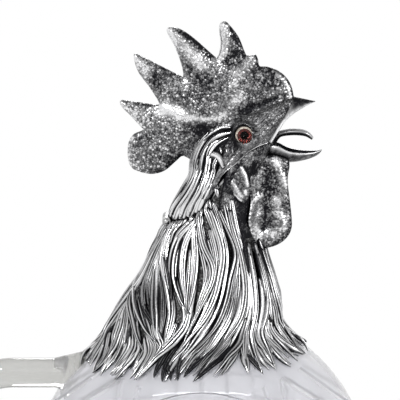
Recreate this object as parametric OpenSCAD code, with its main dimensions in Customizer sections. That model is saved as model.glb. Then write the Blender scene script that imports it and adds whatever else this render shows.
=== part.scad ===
// Cockerel claret jug: a cut-glass ball with a glass handle, and a cast silver
// neck and head. The head is the lid, and the wine is poured through the bill.
// +X is the way the bird looks, +Z is up. The origin is the middle of the foot.

/* [Glass bottle] */
// Outer radius of the glass ball
body_r = 72; // [70:0.5:74]
// Thickness of the blown wall
glass_wall = 5; // [4:0.5:6]
// Radius of the flat foot that the ball is ground to
foot_r = 38; // [35:1:41]
// Width of the ring that the foot stands on
foot_ring_w = 7; // [5:0.5:9]
// Thickness of the solid floor
floor_t = 9; // [8:0.5:11]
// Outer radius of the glass neck
glass_neck_r = 15; // [13.5:0.5:15.5]
// Wall of the glass neck
glass_neck_wall = 3.5; // [3:0.25:4]
// Height of the glass neck above the ball
glass_neck_h = 11; // [10:0.5:12]

/* [Cut decoration] */
// Depth of the mitre cuts in the ball
cut_depth = 1; // [0.6:0.1:1.4]
// Radius of the round panel on each side
panel_r = 48; // [45:1:49]
// Cuts across each round panel, each way
panel_cuts = 7; // [3:2:9]
// Rays of the star under the foot
star_rays = 16; // [12:2:20]

/* [Glass handle] */
// Thickness of the handle, as a radius
handle_r = 6.3; // [5.5:0.1:7]
// Radius of the handle's bow
bow_r = 30; // [28:0.5:32]
// How far the bow's centre stands out from the ball
bow_out = 7.6; // [6:0.2:9]
// Height of the bow's centre above the ball's centre
bow_up = 15.9; // [14:0.1:17]
// Radius of the pads where the handle is laid on the ball
pad_r = 9.5; // [8.5:0.5:11]

/* [Silver neck] */
// Radius of the feather skirt on the ball
skirt_r = 45; // [44:0.25:46]
// Height of the neck, from the top of the ball to the bill
neck_h = 70; // [69:0.5:71]
// How far the bird sits behind the middle of the ball
set_back = 4.6; // [4:0.2:5.2]
// Wall of the castings
silver_wall = 2; // [1.7:0.1:2.3]
// Wall of the sleeve round the glass neck
sleeve_wall = 1.2; // [1:0.1:1.4]
// Thickness of the plaster that holds the sleeve
cement_t = 1.2; // [0.8:0.1:1.4]
// Thickness of the floor in the throat
throat_floor_t = 1.2; // [1:0.1:1.6]
// Wall of the bezel that centres the lid
bezel_wall = 0.8; // [0.6:0.1:1]

/* [Hackle feathers] */
// Feathers in each of the four rows
row_feathers = 22; // [20:1:24]
// Height of a feather's rib over the casting
feather_t = 1.7; // [1.4:0.1:2]

/* [Head] */
// Length of the head, from the hinge to the bill
head_l = 50; // [49:0.5:51]
// Radius of the mouth, where the wine comes out
mouth_r = 3.4; // [3:0.1:3.8]

/* [Comb, bill and wattles] */
// Length of the comb, front to back
comb_l = 70; // [69:0.5:71]
// Scale length of the bill
bill_l = 20; // [19.5:0.25:20.5]
// Length of the wattles
wattle_l = 36; // [35:0.5:37]
// Length of the ear lobes
lobe_l = 17; // [16:0.5:17.5]
// Wall of the bill
bill_wall = 0.9; // [0.7:0.1:1.1]

/* [Eyes] */
// Radius of the glass eye
eye_r = 3.1; // [2.8:0.1:3.3]
// Width of the setting round the eye
setting_w = 0.7; // [0.5:0.1:0.9]
// Depth of the setting's cup
cup_depth = 4.6; // [4.2:0.1:5]
// Radius of the pupil
pupil_r = 1.4; // [1.2:0.05:1.6]
// Thickness of the painted iris
iris_t = 0.5; // [0.4:0.05:0.6]

/* [Hinge] */
// Radius of the hinge pin
pin_r = 0.7; // [0.6:0.05:0.8]
// Radius of the hinge knuckles
knuckle_r = 1.7; // [1.6:0.05:1.8]
// Length of each knuckle
knuckle_l = 4.8; // [4.2:0.1:5.4]
// Radius of the beads at the pin's ends
bead_r = 1.3; // [1.1:0.05:1.5]

/* [Hidden] */
$fn = 64;
ring_n = 40;
leaf_n = 10;
dished_n = 16;
running_gap = 0.05;
seat_gap = 0.15;
seam_gap = 0.3;
overrun = 1;

glass_colour = [0.88, 0.92, 0.93, 0.35];
silver_colour = [0.75, 0.75, 0.74];

// Heights that follow from the ball
ball_z = sqrt(pow(body_r, 2) - pow(foot_r, 2));
ball_top = ball_z + body_r;
glass_rim_z = ball_top + glass_neck_h;
cement_r = glass_neck_r + cement_t;
sleeve_r = cement_r + sleeve_wall;
function on_ball(x, y, lift) = ball_z + sqrt(pow(body_r + lift, 2) - x * x - y * y);
function laid_on_ball(p, lift) = [p.x, p.y, on_ball(p.x, p.y, lift)];

// Outline of the neck casting, foot to seam: back x, back z, front x, front z, half width and
// share of the seam's wave. x, behind the ball's middle by set_back, and width are shares of
// skirt_r, and z is a share of neck_h over the ball. The first row lies on the ball.
neck_shares = [
  [-0.81, 0, 0.89, 0, 0.855, 0],
  [-0.745, -0.083, 0.80, -0.063, 0.78, 0],
  [-0.61, 0.065, 0.773, 0.057, 0.69, 0],
  [-0.455, 0.215, 0.75, 0.192, 0.61, 0],
  [-0.333, 0.379, 0.675, 0.379, 0.52, 0],
  [-0.256, 0.493, 0.61, 0.608, 0.445, 0.1],
  [-0.213, 0.551, 0.645, 0.822, 0.40, 0.6],
  [-0.2, 0.568, 0.76, 1.042, 0.378, 1]
];
neck_rows = [for (s = neck_shares) [
  s[0] * skirt_r - set_back, ball_top + s[1] * neck_h, s[2] * skirt_r - set_back,
  ball_top + s[3] * neck_h, s[4] * skirt_r, s[5]
]];
neck_top = len(neck_rows) - 1;
seam_row = neck_rows[neck_top];
seam_back = [seam_row[0], seam_row[1]];
seam_front = [seam_row[2], seam_row[3]];

// Outline of the head casting, seam to crown: back x and z from the back of the seam, front x and
// z from its front, half width, share of the wave. The first four are shares of head_l, and the
// width is a share of the seam's.
head_shares = [
  [0.026, 0.108, 0.036, 0.076, 1, 0.8],
  [0.10, 0.24, 0.076, 0.156, 0.955, 0.5],
  [0.166, 0.38, 0.126, 0.236, 0.838, 0.2],
  [0.18, 0.51, 0.166, 0.306, 0.676, 0],
  [0.22, 0.66, 0.176, 0.356, 0.485, 0],
  [0.26, 0.76, 0.136, 0.366, 0.265, 0],
  [0.32, 0.86, 0.08, 0.40, 0.106, 0]
];
head_rows = concat(
  [[seam_row[0], seam_row[1] + seam_gap, seam_row[2], seam_row[3] + seam_gap, seam_row[4], 1]],
  [for (s = head_shares) [
    seam_back.x + s[0] * head_l, seam_back.y + s[1] * head_l,
    seam_front.x + s[2] * head_l, seam_front.y + s[3] * head_l, s[4] * seam_row[4], s[5]
  ]]
);
head_top = len(head_rows) - 1;
crown_row = head_rows[head_top - 1];
crown = [(crown_row[0] + crown_row[2]) / 2, (crown_row[1] + crown_row[3]) / 2];

// The seam is a long S seen from the side, sagging at the back and swelling at the front.
seam_sag = 0.12 * head_l;
seam_swell = 0.066 * head_l;
function seam_lift(c) = (c < 0 ? seam_sag : seam_swell) * sin(180 * c);

// A point of a row at an angle, the row taken in by inset. Angle 0 is the front, 90 the far side.
function row_point(r, a, inset) =
  let (
    back = [r[0], r[1]], front = [r[2], r[3]], middle = (back + front) / 2,
    half = norm(front - back) / 2, along = (front - back) / (2 * half),
    p = middle + along * (half - inset) * cos(a)
  )
  [p.x, (r[4] - inset) * sin(a), p.y + r[5] * seam_lift(cos(a))];
function angles(n) = [for (i = [0:n - 1]) 360 * i / n];
function row_ring(r, inset) = [for (a = angles(ring_n)) row_point(r, a, inset)];
function mix_rows(rows, v) =
  let (i = min(max(floor(v), 0), len(rows) - 2)) rows[i] * (1 - v + i) + rows[i + 1] * (v - i);
function mean(points) = [for (s = points) 1] * points / len(points);
function unit(v) = v / norm(v);
function spread(shares, at, scale) = [for (s = shares) [
  at.x + s[0] * scale, at.y + s[1] * scale, s[2] * scale, s[3] * scale
]];

// A solid skinned over rings of equally many points, closed at both ends by fans
module skin(rings) {
  n = len(rings);
  m = len(rings[0]);
  points = concat([for (r = rings) each r], [mean(rings[0]), mean(rings[n - 1])]);
  sides = [for (i = [0:n - 2], j = [0:m - 1]) let (k = (j + 1) % m) each [
    [i * m + j, (i + 1) * m + j, (i + 1) * m + k], [i * m + j, (i + 1) * m + k, i * m + k]
  ]];
  first = [for (j = [0:m - 1]) [n * m, j, (j + 1) % m]];
  last = [for (j = [0:m - 1]) [n * m + 1, (n - 1) * m + (j + 1) % m, (n - 1) * m + j]];
  polyhedron(points, concat(sides, first, last));
}

// A shell skinned over rings, the last of which joins the first
module closed_skin(rings) {
  n = len(rings);
  m = len(rings[0]);
  sides = [for (i = [0:n - 1], j = [0:m - 1]) let (k = (j + 1) % m, u = (i + 1) % n) each [
    [i * m + j, u * m + j, u * m + k], [i * m + j, u * m + k, i * m + k]
  ]];
  polyhedron([for (r = rings) each r], sides);
}

// A curved sheet between two grids of points, one over the other, closed along all four edges
module sheet(outer, inner) {
  n = len(outer);
  m = len(outer[0]);
  under = n * m;
  function quad(a, b, c, d) = [[a, c, b], [a, d, c]];
  faces = [for (i = [0:n - 2], j = [0:m - 2]) let (a = i * m + j, b = a + m) each concat(
    quad(a, b, b + 1, a + 1), quad(under + a, under + a + 1, under + b + 1, under + b)
  )];
  ends = [for (j = [0:m - 2]) let (b = (n - 1) * m + j) each concat(
    quad(j, j + 1, under + j + 1, under + j), quad(b, under + b, under + b + 1, b + 1)
  )];
  edges = [for (i = [0:n - 2]) let (a = i * m, b = a + m - 1) each concat(
    quad(a, under + a, under + a + m, a + m), quad(b, b + m, under + b + m, under + b)
  )];
  polyhedron(concat([for (r = outer) each r], [for (r = inner) each r]), concat(faces, ends, edges));
}

// A leaf in the plane of the comb. Its stations are x, z, half width and half thickness, and dish
// hollows its middle, which leaves a raised rim.
module leaf(stations, n = leaf_n, dish = 0) {
  last = len(stations) - 1;
  skin([for (i = [0:last])
    let (
      s = stations[i], a = stations[max(i - 1, 0)], b = stations[min(i + 1, last)],
      t = unit([b[0] - a[0], b[1] - a[1]])
    )
    [for (q = angles(n))
      let (thick = s[3] * sin(q) * (1 - dish * (1 - abs(cos(q)))))
      [s[0] + t.y * s[2] * cos(q), thick, s[1] - t.x * s[2] * cos(q)]]
  ]);
}

// The castings as solid forms, for cutting what sits on them. Their rims are as flat as the wall
// is thick.
module neck_form() {
  foot = [for (a = angles(ring_n)) laid_on_ball(row_point(neck_rows[0], a, 0), seat_gap)];
  rings = [for (i = [1:neck_top]) row_ring(neck_rows[i], 0)];
  skin(concat([foot], rings, [row_ring(seam_row, silver_wall)]));
}

module neck_hollow() {
  rings = [for (i = [1:neck_top]) row_ring(neck_rows[i], silver_wall)];
  foot = [for (a = angles(ring_n)) laid_on_ball(row_point(neck_rows[0], a, silver_wall), seat_gap)];
  rim = [for (p = rings[neck_top - 1]) p + [0, 0, overrun]];
  skin(concat([foot], rings, [rim]));
}

module head_form(outset = 0) {
  rim = row_ring(head_rows[0], silver_wall + overrun);
  skin(concat([rim], [for (r = head_rows) row_ring(r, -outset)]));
}

// Room for the lid, for cutting what stands beside its rim
module lid_room() {
  translate([0, 0, -seam_gap - seat_gap]) head_form(seam_gap);
}

module head_hollow() {
  rings = [for (i = [1:head_top - 1]) row_ring(head_rows[i], silver_wall)];
  mouth = [for (p = row_ring(head_rows[0], silver_wall)) p - [0, 0, overrun]];
  skin(concat([mouth], rings));
}

// Glass bottle
module star_ray() {
  ray_w = 2 * cut_depth;
  translate([ray_w, 0, cut_depth / 2]) rotate([90, 0, 90])
    linear_extrude(foot_r - foot_ring_w - 2 * ray_w)
      polygon([[-ray_w, 0], [ray_w, 0], [0, ray_w]]);
}

// A mitre cut round the z axis, at a height over the ball's centre, centred on +X
module mitre(height, sweep) {
  reach = sqrt(pow(body_r, 2) - height * height);
  rotate([0, 0, -sweep / 2]) rotate_extrude(angle = sweep)
    translate([reach, height]) circle(r = cut_depth, $fn = 4);
}

// The round panel on the -Y side: a ring, and cuts across it both ways
module panel_cut_set() {
  panel_out = sqrt(pow(body_r, 2) - pow(panel_r, 2));
  pitch = 2 * panel_r / (panel_cuts + 1);
  rotate([90, 0, 0]) mitre(panel_out, 360);
  for (i = [1:panel_cuts]) {
    off = i * pitch - panel_r;
    chord = sqrt(pow(panel_r, 2) - off * off) - 3 * cut_depth;
    sweep = 2 * asin(chord / sqrt(pow(body_r, 2) - off * off));
    rotate([0, 0, -90]) mitre(off, sweep);
    rotate([0, 90, 0]) rotate([0, 0, -90]) mitre(off, sweep);
  }
}

module glass_body() {
  inner_r = body_r - glass_wall;
  bore_r = glass_neck_r - glass_neck_wall;
  recess_r = foot_r - foot_ring_w;
  corner = [-body_r, -body_r, 0];
  color(glass_colour) difference() {
    union() {
      intersection() {
        translate([0, 0, ball_z]) sphere(body_r);
        translate(corner) cube([2 * body_r, 2 * body_r, 2 * body_r + ball_z]);
      }
      translate([0, 0, ball_z]) cylinder(r = glass_neck_r, h = glass_rim_z - ball_z);
    }
    intersection() {
      translate([0, 0, ball_z]) sphere(inner_r);
      translate(corner + [0, 0, floor_t]) cube([2 * body_r, 2 * body_r, 2 * body_r]);
    }
    translate([0, 0, ball_z]) cylinder(r = bore_r, h = glass_rim_z - ball_z + overrun);
    translate([0, 0, -overrun]) cylinder(r = recess_r, h = cut_depth + overrun);
    for (i = [0:star_rays - 1]) rotate([0, 0, 360 * i / star_rays]) star_ray();
    for (side = [0, 180]) translate([0, 0, ball_z]) rotate([0, 0, side]) panel_cut_set();
  }
}

// The handle runs straight off the ball, round a half turn, and straight back to the ball.
module handle_end(reach) {
  flare = 0.7 * pad_r;
  start = max(reach - flare, 0);
  cylinder(r = handle_r, h = reach + flare);
  translate([0, 0, start]) cylinder(r1 = handle_r, r2 = pad_r, h = reach + flare - start);
}

module glass_handle() {
  bow_x = body_r + bow_out;
  color(glass_colour) translate([0, 0, ball_z]) difference() {
    translate([-bow_x, 0, bow_up]) rotate([90, 0, 0]) {
      rotate([0, 0, 90]) rotate_extrude(angle = 180) translate([bow_r, 0]) circle(handle_r);
      for (side = [-1, 1]) translate([0, side * bow_r, 0]) rotate([0, 90, 0])
        handle_end(bow_x - sqrt(pow(body_r, 2) - pow(bow_up + side * bow_r, 2)));
    }
    sphere(body_r);
  }
}

// Mount round the glass neck
module tube_on_ball(outer, inner, gap, top) {
  low = on_ball(outer, 0, 0) - overrun;
  difference() {
    translate([0, 0, low]) cylinder(r = outer, h = top - low);
    translate([0, 0, low - overrun]) cylinder(r = inner, h = top - low + 2 * overrun);
    translate([0, 0, ball_z]) sphere(body_r + gap);
  }
}

module cement_ring() {
  color([0.86, 0.84, 0.78]) tube_on_ball(cement_r, glass_neck_r, 0, glass_rim_z);
}

module neck_sleeve() {
  color(silver_colour) tube_on_ball(sleeve_r, cement_r, seat_gap, glass_rim_z);
}

module throat_floor() {
  color(silver_colour) difference() {
    intersection() {
      neck_hollow();
      translate([0, 0, glass_rim_z - throat_floor_t]) cylinder(r = skirt_r, h = throat_floor_t);
    }
    translate([0, 0, ball_z]) cylinder(r = sleeve_r, h = glass_rim_z);
  }
}

// Hinge of the lid: two knuckles on the neck, one on the lid, and a pin with beaded ends
hinge_at = seam_back + [-0.022 * head_l, seam_gap / 2];
knuckle_pitch = knuckle_l + 2 * running_gap;

module on_hinge() {
  translate([hinge_at.x, 0, hinge_at.y]) rotate([90, 0, 0]) children();
}

module hinge_bar(r, length) {
  on_hinge() cylinder(r = r, h = length, center = true);
}

module neck_knuckles() {
  color(silver_colour) difference() {
    on_hinge() for (side = [-1, 1]) translate([0, 0, side * knuckle_pitch])
      cylinder(r = knuckle_r, h = knuckle_l, center = true);
    hinge_bar(pin_r, 4 * knuckle_l);
    neck_form();
  }
}

module lid_knuckle() {
  color(silver_colour) difference() {
    hinge_bar(knuckle_r, knuckle_l);
    hinge_bar(pin_r + running_gap, 2 * knuckle_l);
    head_form();
  }
}

module hinge_pin() {
  half = knuckle_pitch + knuckle_l / 2;
  color([0.62, 0.60, 0.55]) on_hinge() {
    cylinder(r = pin_r, h = 2 * half, center = true);
    for (side = [0, 180]) rotate([0, side, 0]) translate([0, 0, half]) difference() {
      sphere(bead_r);
      translate([0, 0, -bead_r]) cylinder(r = 2 * bead_r, h = bead_r);
    }
  }
}

// Castings
module neck_casting() {
  outer = [for (i = [1:neck_top]) row_ring(neck_rows[i], 0)];
  inner = [for (i = [neck_top:-1:1]) row_ring(neck_rows[i], silver_wall)];
  foot = [for (inset = [silver_wall, 0])
    [for (a = angles(ring_n)) laid_on_ball(row_point(neck_rows[0], a, inset), seat_gap)]];
  color(silver_colour) difference() {
    closed_skin(concat([foot[1]], outer, inner, [foot[0]]));
    hinge_bar(knuckle_r + seam_gap, knuckle_l + 2 * running_gap);
  }
}

module head_casting() {
  color(silver_colour) difference() {
    head_form();
    head_hollow();
    on_hinge() for (side = [-1, 1]) translate([0, 0, side * 1.5 * knuckle_pitch])
      cylinder(r = knuckle_r + seam_gap, h = 2 * knuckle_pitch, center = true);
    for (side = [-1, 1]) in_eye(side)
      translate([0, 0, -cup_depth]) cylinder(r = setting_r, h = 2 * cup_depth);
    mouth_bore();
  }
}

// The mouth is an arch in the rim of the head, over the root of the lower bill.
module mouth_bore() {
  translate([seam_front.x - mouth_r - silver_wall, 0, seam_front.y + mouth_r / 2]) rotate([0, 90, 0])
    cylinder(r = mouth_r, h = 2 * mouth_r + silver_wall);
}

// The bezel stands in the lid and leans along the path of the lid's own rim, so it never binds.
module rim_bezel() {
  lean = 4;
  outset = silver_wall + seat_gap;
  stand = outset + seat_gap;
  low_row = mix_rows(neck_rows, neck_top - 0.25);
  hinge = [hinge_at.x, 0, hinge_at.y];
  function leant(ring) = [for (p = ring)
    let (d = p - hinge)
    hinge + [d.x * cos(lean) - d.z * sin(lean), d.y, d.x * sin(lean) + d.z * cos(lean)]];
  color(silver_colour) difference() {
    closed_skin([
      row_ring(low_row, outset), row_ring(seam_row, outset), row_ring(seam_row, stand),
      leant(row_ring(seam_row, stand + 2 * seat_gap)),
      leant(row_ring(seam_row, stand + 2 * seat_gap + bezel_wall)),
      row_ring(seam_row, outset + bezel_wall), row_ring(low_row, outset + bezel_wall)
    ]);
    mouth_bore();
  }
}

// Hackle feathers. The rows that they lie on are the casting's own and one more on the ball.
fringe_row = [-skirt_r - set_back, ball_top, skirt_r, ball_top, skirt_r, 0];
cloak_rows = concat([fringe_row], neck_rows);
lie_gap = 1.2 * seat_gap;
lap_rise = 0.6 * feather_t;
lean = 7;
function cloak_ring(i, a, lift) =
  i < 2 ? laid_on_ball(row_point(cloak_rows[i], a, 0), seat_gap + lift)
  : row_point(cloak_rows[i], a, -lift);
function cloak_point(v, a, lift) =
  let (i = min(floor(v), len(cloak_rows) - 2), swept = a + lean * sin(a) * (1 - v / 4))
  cloak_ring(i, swept, lift) * (1 - v + i) + cloak_ring(i + 1, swept, lift) * (v - i);
function nape_point(v, a, lift) = row_point(mix_rows(head_rows, v), a, -lift);
function plumage_point(on_nape, v, a, lift) = on_nape ? nape_point(v, a, lift) : cloak_point(v, a, lift);

// A row of feathers is a scalloped band. This is the band's section at one angle, as a loop of
// points. off is how far the angle lies from a feather's rib, 0 to 1. Below lap the band stands
// over the row beneath it.
function band_loop(on_nape, a, off, top, tip, notch, lap, lap_row, last_row) =
  let (
    low = tip + (notch - tip) * pow(off, 1.3), rib = feather_t * (1 - 0.55 * off),
    raised = lap > low, under = lie_gap + (raised ? lap_rise : 0),
    bend = raised ? lap : (top + low) / 2, long = top - low,
    rows = [for (r = [ceil(lap_row + 0.15):floor(last_row)]) r],
    outline = concat(
      [
        [top, lie_gap + 0.15 * rib], [min(floor(last_row), top - 0.1), lie_gap + 0.45 * rib],
        [min(bend, top - 0.4 * long), under + 0.45 * rib], [low + 0.2 * long, under + 0.62 * rib],
        [low, under + 0.35 * rib], [low, under]
      ],
      raised ? [[lap, under], [lap + 0.15, lie_gap]]
      : [[low + 0.04 * long, lie_gap], [low + 0.08 * long, lie_gap]],
      [for (i = [0:len(rows) - 1]) [min(rows[i], top - 0.05 * (len(rows) - i)), lie_gap]],
      [[top, lie_gap]]
    )
  )
  [for (q = outline) plumage_point(on_nape, q[0], a, q[1])];

// Rows of the hackle: places of the root, tips, notches and lap, in rows and shares of a row
hackle_row_shares = [
  [2.6, 0.05, 0.75, -1],
  [4.3, 1.9, 2.3, 2.75],
  [5.5, 3.5, 3.9, 4.45],
  [6.9, 4.7, 5.1, 5.65]
];
columns = 4 * row_feathers;
function lobe_dip(a) =
  let (side = acos(cos(a))) side > 24 && side < 92 ? min(1, (34 - abs(side - 58)) / 12) : 0;
module hackle_band(k) {
  band = hackle_row_shares[k];
  closed_skin([for (j = [0:columns - 1])
    let (
      a = j * 360 / columns, off = abs((j + 2 * (k % 2)) % 4 - 2) / 2,
      top = band[0] - (k == 3 ? 0.85 * lobe_dip(a) : 0)
    )
    band_loop(false, a, off, top, band[1], band[2], band[3], max(band[3], band[1]), band[0])
  ]);
}

module hackle_feathers() {
  color(silver_colour) for (k = [0:len(hackle_row_shares) - 1]) hackle_band(k);
}

// Rows of the nape: as above, then the first and last angle and the number of feathers
nape_row_shares = [
  [2.6, 0.4, 0.8, -1, 108, 252, 11], [4.3, 2, 2.4, 2.75, 108, 160, 4], [5.6, 3.5, 3.9, 4.45, 112, 156, 3],
  [4.3, 2, 2.4, 2.75, 200, 252, 4], [5.6, 3.5, 3.9, 4.45, 204, 248, 3]
];
module nape_feathers() {
  color(silver_colour) for (band = nape_row_shares) {
    n = 4 * band[6];
    skin([for (j = [0:n])
      let (
        a = band[4] + (band[5] - band[4]) * j / n, off = abs(j % 4 - 2) / 2,
        end = min(1, 0.1 + min(j, n - j) / 2), low = band[1] + (band[2] - band[1]) * off,
        top = low + (band[0] - low) * end, lap = end < 1 ? low - 1 : band[3]
      )
      band_loop(true, a, off, top, band[1], band[2], lap, max(band[3], band[1]), band[0])
    ]);
  }
}

// The space that the hackle takes up on the throat
module throat_plumage() {
  rows = [3, 4, 5, 6, 7];
  skin([for (v = rows) [for (a = angles(ring_n)) cloak_point(v, a, 1.5 * feather_t)]]);
}

// Stations of the comb and its points: x, z, half width and half thickness, as shares of comb_l
comb_shares = [
  [0.296, 0.103, 0.011, 0.011], [0.257, 0.143, 0.057, 0.037], [0.186, 0.171, 0.089, 0.051],
  [0.079, 0.185, 0.136, 0.064], [-0.036, 0.184, 0.17, 0.07], [-0.164, 0.147, 0.197, 0.07],
  [-0.293, 0.092, 0.178, 0.066], [-0.40, 0.01, 0.15, 0.06], [-0.48, -0.10, 0.137, 0.055],
  [-0.543, -0.2, 0.131, 0.051], [-0.557, -0.286, 0.123, 0.046], [-0.544, -0.354, 0.049, 0.02]
];
comb_point_shares = [
  [
    [0.121, 0.2, 0.093, 0.046], [0.093, 0.28, 0.063, 0.04], [0.056, 0.337, 0.031, 0.026],
    [0.039, 0.363, 0.007, 0.007]
  ],
  [
    [-0.076, 0.286, 0.10, 0.049], [-0.084, 0.386, 0.077, 0.041], [-0.099, 0.471, 0.049, 0.031],
    [-0.116, 0.534, 0.021, 0.017], [-0.123, 0.557, 0.004, 0.004]
  ],
  [
    [-0.264, 0.229, 0.114, 0.049], [-0.301, 0.343, 0.089, 0.043], [-0.359, 0.434, 0.051, 0.033],
    [-0.419, 0.503, 0.021, 0.017], [-0.441, 0.523, 0.004, 0.004]
  ],
  [
    [-0.393, 0.071, 0.123, 0.049], [-0.486, 0.179, 0.103, 0.043], [-0.564, 0.266, 0.066, 0.034],
    [-0.63, 0.331, 0.029, 0.019], [-0.653, 0.354, 0.004, 0.004]
  ],
  [
    [-0.493, -0.086, 0.1, 0.049], [-0.586, -0.023, 0.074, 0.04], [-0.667, 0.031, 0.043, 0.029],
    [-0.721, 0.069, 0.019, 0.014], [-0.736, 0.08, 0.004, 0.004]
  ]
];

module comb_form() {
  leaf(spread(comb_shares, crown, comb_l));
  for (shares = comb_point_shares) leaf(spread(shares, crown, comb_l));
}

module comb() {
  color(silver_colour) difference() {
    comb_form();
    head_form();
    leaf(spread(upper_bill_shares, upper_bill_at, bill_l));
  }
}

// Bill and tongue, as shares of bill_l
upper_bill_shares = [
  [-0.05, 0.275, 0.25, 0.28], [0.15, 0.40, 0.21, 0.26], [0.325, 0.48, 0.145, 0.19],
  [0.525, 0.52, 0.075, 0.11], [0.65, 0.545, 0.035, 0.05], [0.71, 0.55, 0.01, 0.012]
];
// Stations of the lower bill: x, height of the rim, height of the keel and half width. The keel
// lies behind the rim by a share of the depth, as the throat does.
lower_bill_shares = [
  [-0.15, -0.115, -0.46, 0.255], [0.12, -0.10, -0.465, 0.27], [0.40, -0.175, -0.45, 0.23],
  [0.65, -0.225, -0.415, 0.17], [0.87, -0.22, -0.35, 0.11], [0.99, -0.20, -0.285, 0.06],
  [1.05, -0.19, -0.24, 0.025]
];
keel_rake_share = 0.34;
tongue_shares = [
  [-0.01, -0.30, 0.045, 0.08], [0.085, 0.025, 0.045, 0.09], [0.22, 0.16, 0.048, 0.115],
  [0.46, 0.25, 0.048, 0.13], [0.69, 0.21, 0.04, 0.10], [0.86, 0.09, 0.01, 0.025]
];
upper_bill_at = seam_front + [0.076 * head_l, 0.112 * head_l];

module upper_bill() {
  color(silver_colour) difference() {
    leaf(spread(upper_bill_shares, upper_bill_at, bill_l));
    head_form();
  }
}

// The lower bill is a trough, open on top.
module lower_bill() {
  function trough(wall) = [for (s = bill_l * lower_bill_shares)
    let (w = max(s[3] - wall, s[3] / 2), deep = max(s[1] - s[2] - wall, (s[1] - s[2]) / 2))
    [for (q = [0:leaf_n])
      let (t = 180 * q / leaf_n, sunk = deep * sin(t))
      [seam_front.x + s[0] - keel_rake_share * sunk, w * cos(t), seam_front.y + s[1] - sunk]]];
  color(silver_colour) difference() {
    sheet(trough(0), trough(bill_wall));
    neck_form();
    lid_room();
  }
}

module tongue() {
  color(silver_colour) difference() {
    leaf(spread(tongue_shares, seam_front, bill_l));
    neck_form();
  }
}

// Wattles, as shares of wattle_l, and ear lobes, as shares of lobe_l
wattle_shares = [
  [-0.017, -0.247, 0.181, 0.042], [-0.033, -0.428, 0.222, 0.061], [-0.044, -0.65, 0.231, 0.069],
  [-0.033, -0.872, 0.25, 0.075], [-0.025, -1.039, 0.247, 0.075], [-0.044, -1.167, 0.183, 0.061],
  [-0.067, -1.256, 0.056, 0.017]
];
lobe_shares = [
  [-0.035, 0.48, 0.059, 0.029], [-0.012, 0.40, 0.224, 0.1], [0, 0.188, 0.341, 0.141],
  [0, -0.059, 0.359, 0.153], [-0.012, -0.318, 0.306, 0.129], [-0.029, -0.482, 0.094, 0.041]
];
wattle_out = 0.16 * wattle_l;
lobe_at = seam_front + [-0.315 * skirt_r, -0.243 * neck_h];
lobe_out = 0.35 * skirt_r;

module wattle(side) {
  translate([0, side * wattle_out, 0]) leaf(spread(wattle_shares, seam_front, wattle_l), dished_n, 0.65);
}

module ear_lobe(side) {
  translate([0, side * lobe_out, 0]) leaf(spread(lobe_shares, lobe_at, lobe_l), dished_n, 0.5);
}

module wattle_right() {
  color(silver_colour) difference() {
    wattle(-1);
    neck_form();
    throat_plumage();
  }
}

module wattle_left() {
  color(silver_colour) difference() {
    wattle(1);
    neck_form();
    throat_plumage();
  }
}

module ear_lobe_right() {
  color(silver_colour) difference() {
    ear_lobe(-1);
    neck_form();
    lid_room();
  }
}

module ear_lobe_left() {
  color(silver_colour) difference() {
    ear_lobe(1);
    neck_form();
    lid_room();
  }
}

// Eyes: each is a cup set in a bore of the head, with a painted iris under a domed glass
setting_r = eye_r + setting_w;
eye_at = [crown.x, crown.y - 0.155 * head_l];
eye_out = 0.74 * seam_row[4];
cup_floor = 0.2 * cup_depth;
glass_low = cup_floor + iris_t;

// Places children with z pointing out of the eye and zero at the front of the cup
module in_eye(side) {
  translate([eye_at.x, side * eye_out, eye_at.y]) rotate([-90 * side, 0, 0]) children();
}

module eye_setting(side) {
  color(silver_colour) in_eye(side) translate([0, 0, -cup_depth]) difference() {
    cylinder(r = setting_r, h = cup_depth);
    translate([0, 0, cup_floor]) cylinder(r = eye_r, h = cup_depth);
  }
}

module iris(side) {
  color([0.42, 0.17, 0.06]) in_eye(side) translate([0, 0, cup_floor - cup_depth]) difference() {
    cylinder(r = eye_r, h = iris_t);
    translate([0, 0, -overrun]) cylinder(r = pupil_r, h = iris_t + 2 * overrun);
  }
}

module pupil(side) {
  color([0.03, 0.03, 0.03]) in_eye(side)
    translate([0, 0, cup_floor - cup_depth]) cylinder(r = pupil_r, h = iris_t);
}

module eye_glass(side) {
  straight = cup_depth - glass_low;
  dome_r = 1.25 * eye_r;
  dome_low = sqrt(pow(dome_r, 2) - pow(eye_r, 2));
  color([0.80, 0.55, 0.35, 0.5]) in_eye(side) {
    translate([0, 0, -straight]) cylinder(r = eye_r, h = straight);
    difference() {
      translate([0, 0, -dome_low]) sphere(dome_r);
      translate([-dome_r, -dome_r, -2 * dome_r]) cube(2 * dome_r);
    }
  }
}

module eye_setting_right() {
  eye_setting(-1);
}

module eye_setting_left() {
  eye_setting(1);
}

module iris_right() {
  iris(-1);
}

module iris_left() {
  iris(1);
}

module pupil_right() {
  pupil(-1);
}

module pupil_left() {
  pupil(1);
}

module eye_glass_right() {
  eye_glass(-1);
}

module eye_glass_left() {
  eye_glass(1);
}

glass_body();
glass_handle();
cement_ring();
neck_sleeve();
throat_floor();
neck_casting();
hackle_feathers();
rim_bezel();
lower_bill();
tongue();
wattle_right();
wattle_left();
ear_lobe_right();
ear_lobe_left();
neck_knuckles();
hinge_pin();
lid_knuckle();
head_casting();
nape_feathers();
comb();
upper_bill();
eye_setting_right();
eye_setting_left();
iris_right();
iris_left();
pupil_right();
pupil_left();
eye_glass_right();
eye_glass_left();
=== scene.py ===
import bpy
import itertools
import math
import numpy as np
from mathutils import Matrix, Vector, geometry


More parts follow.
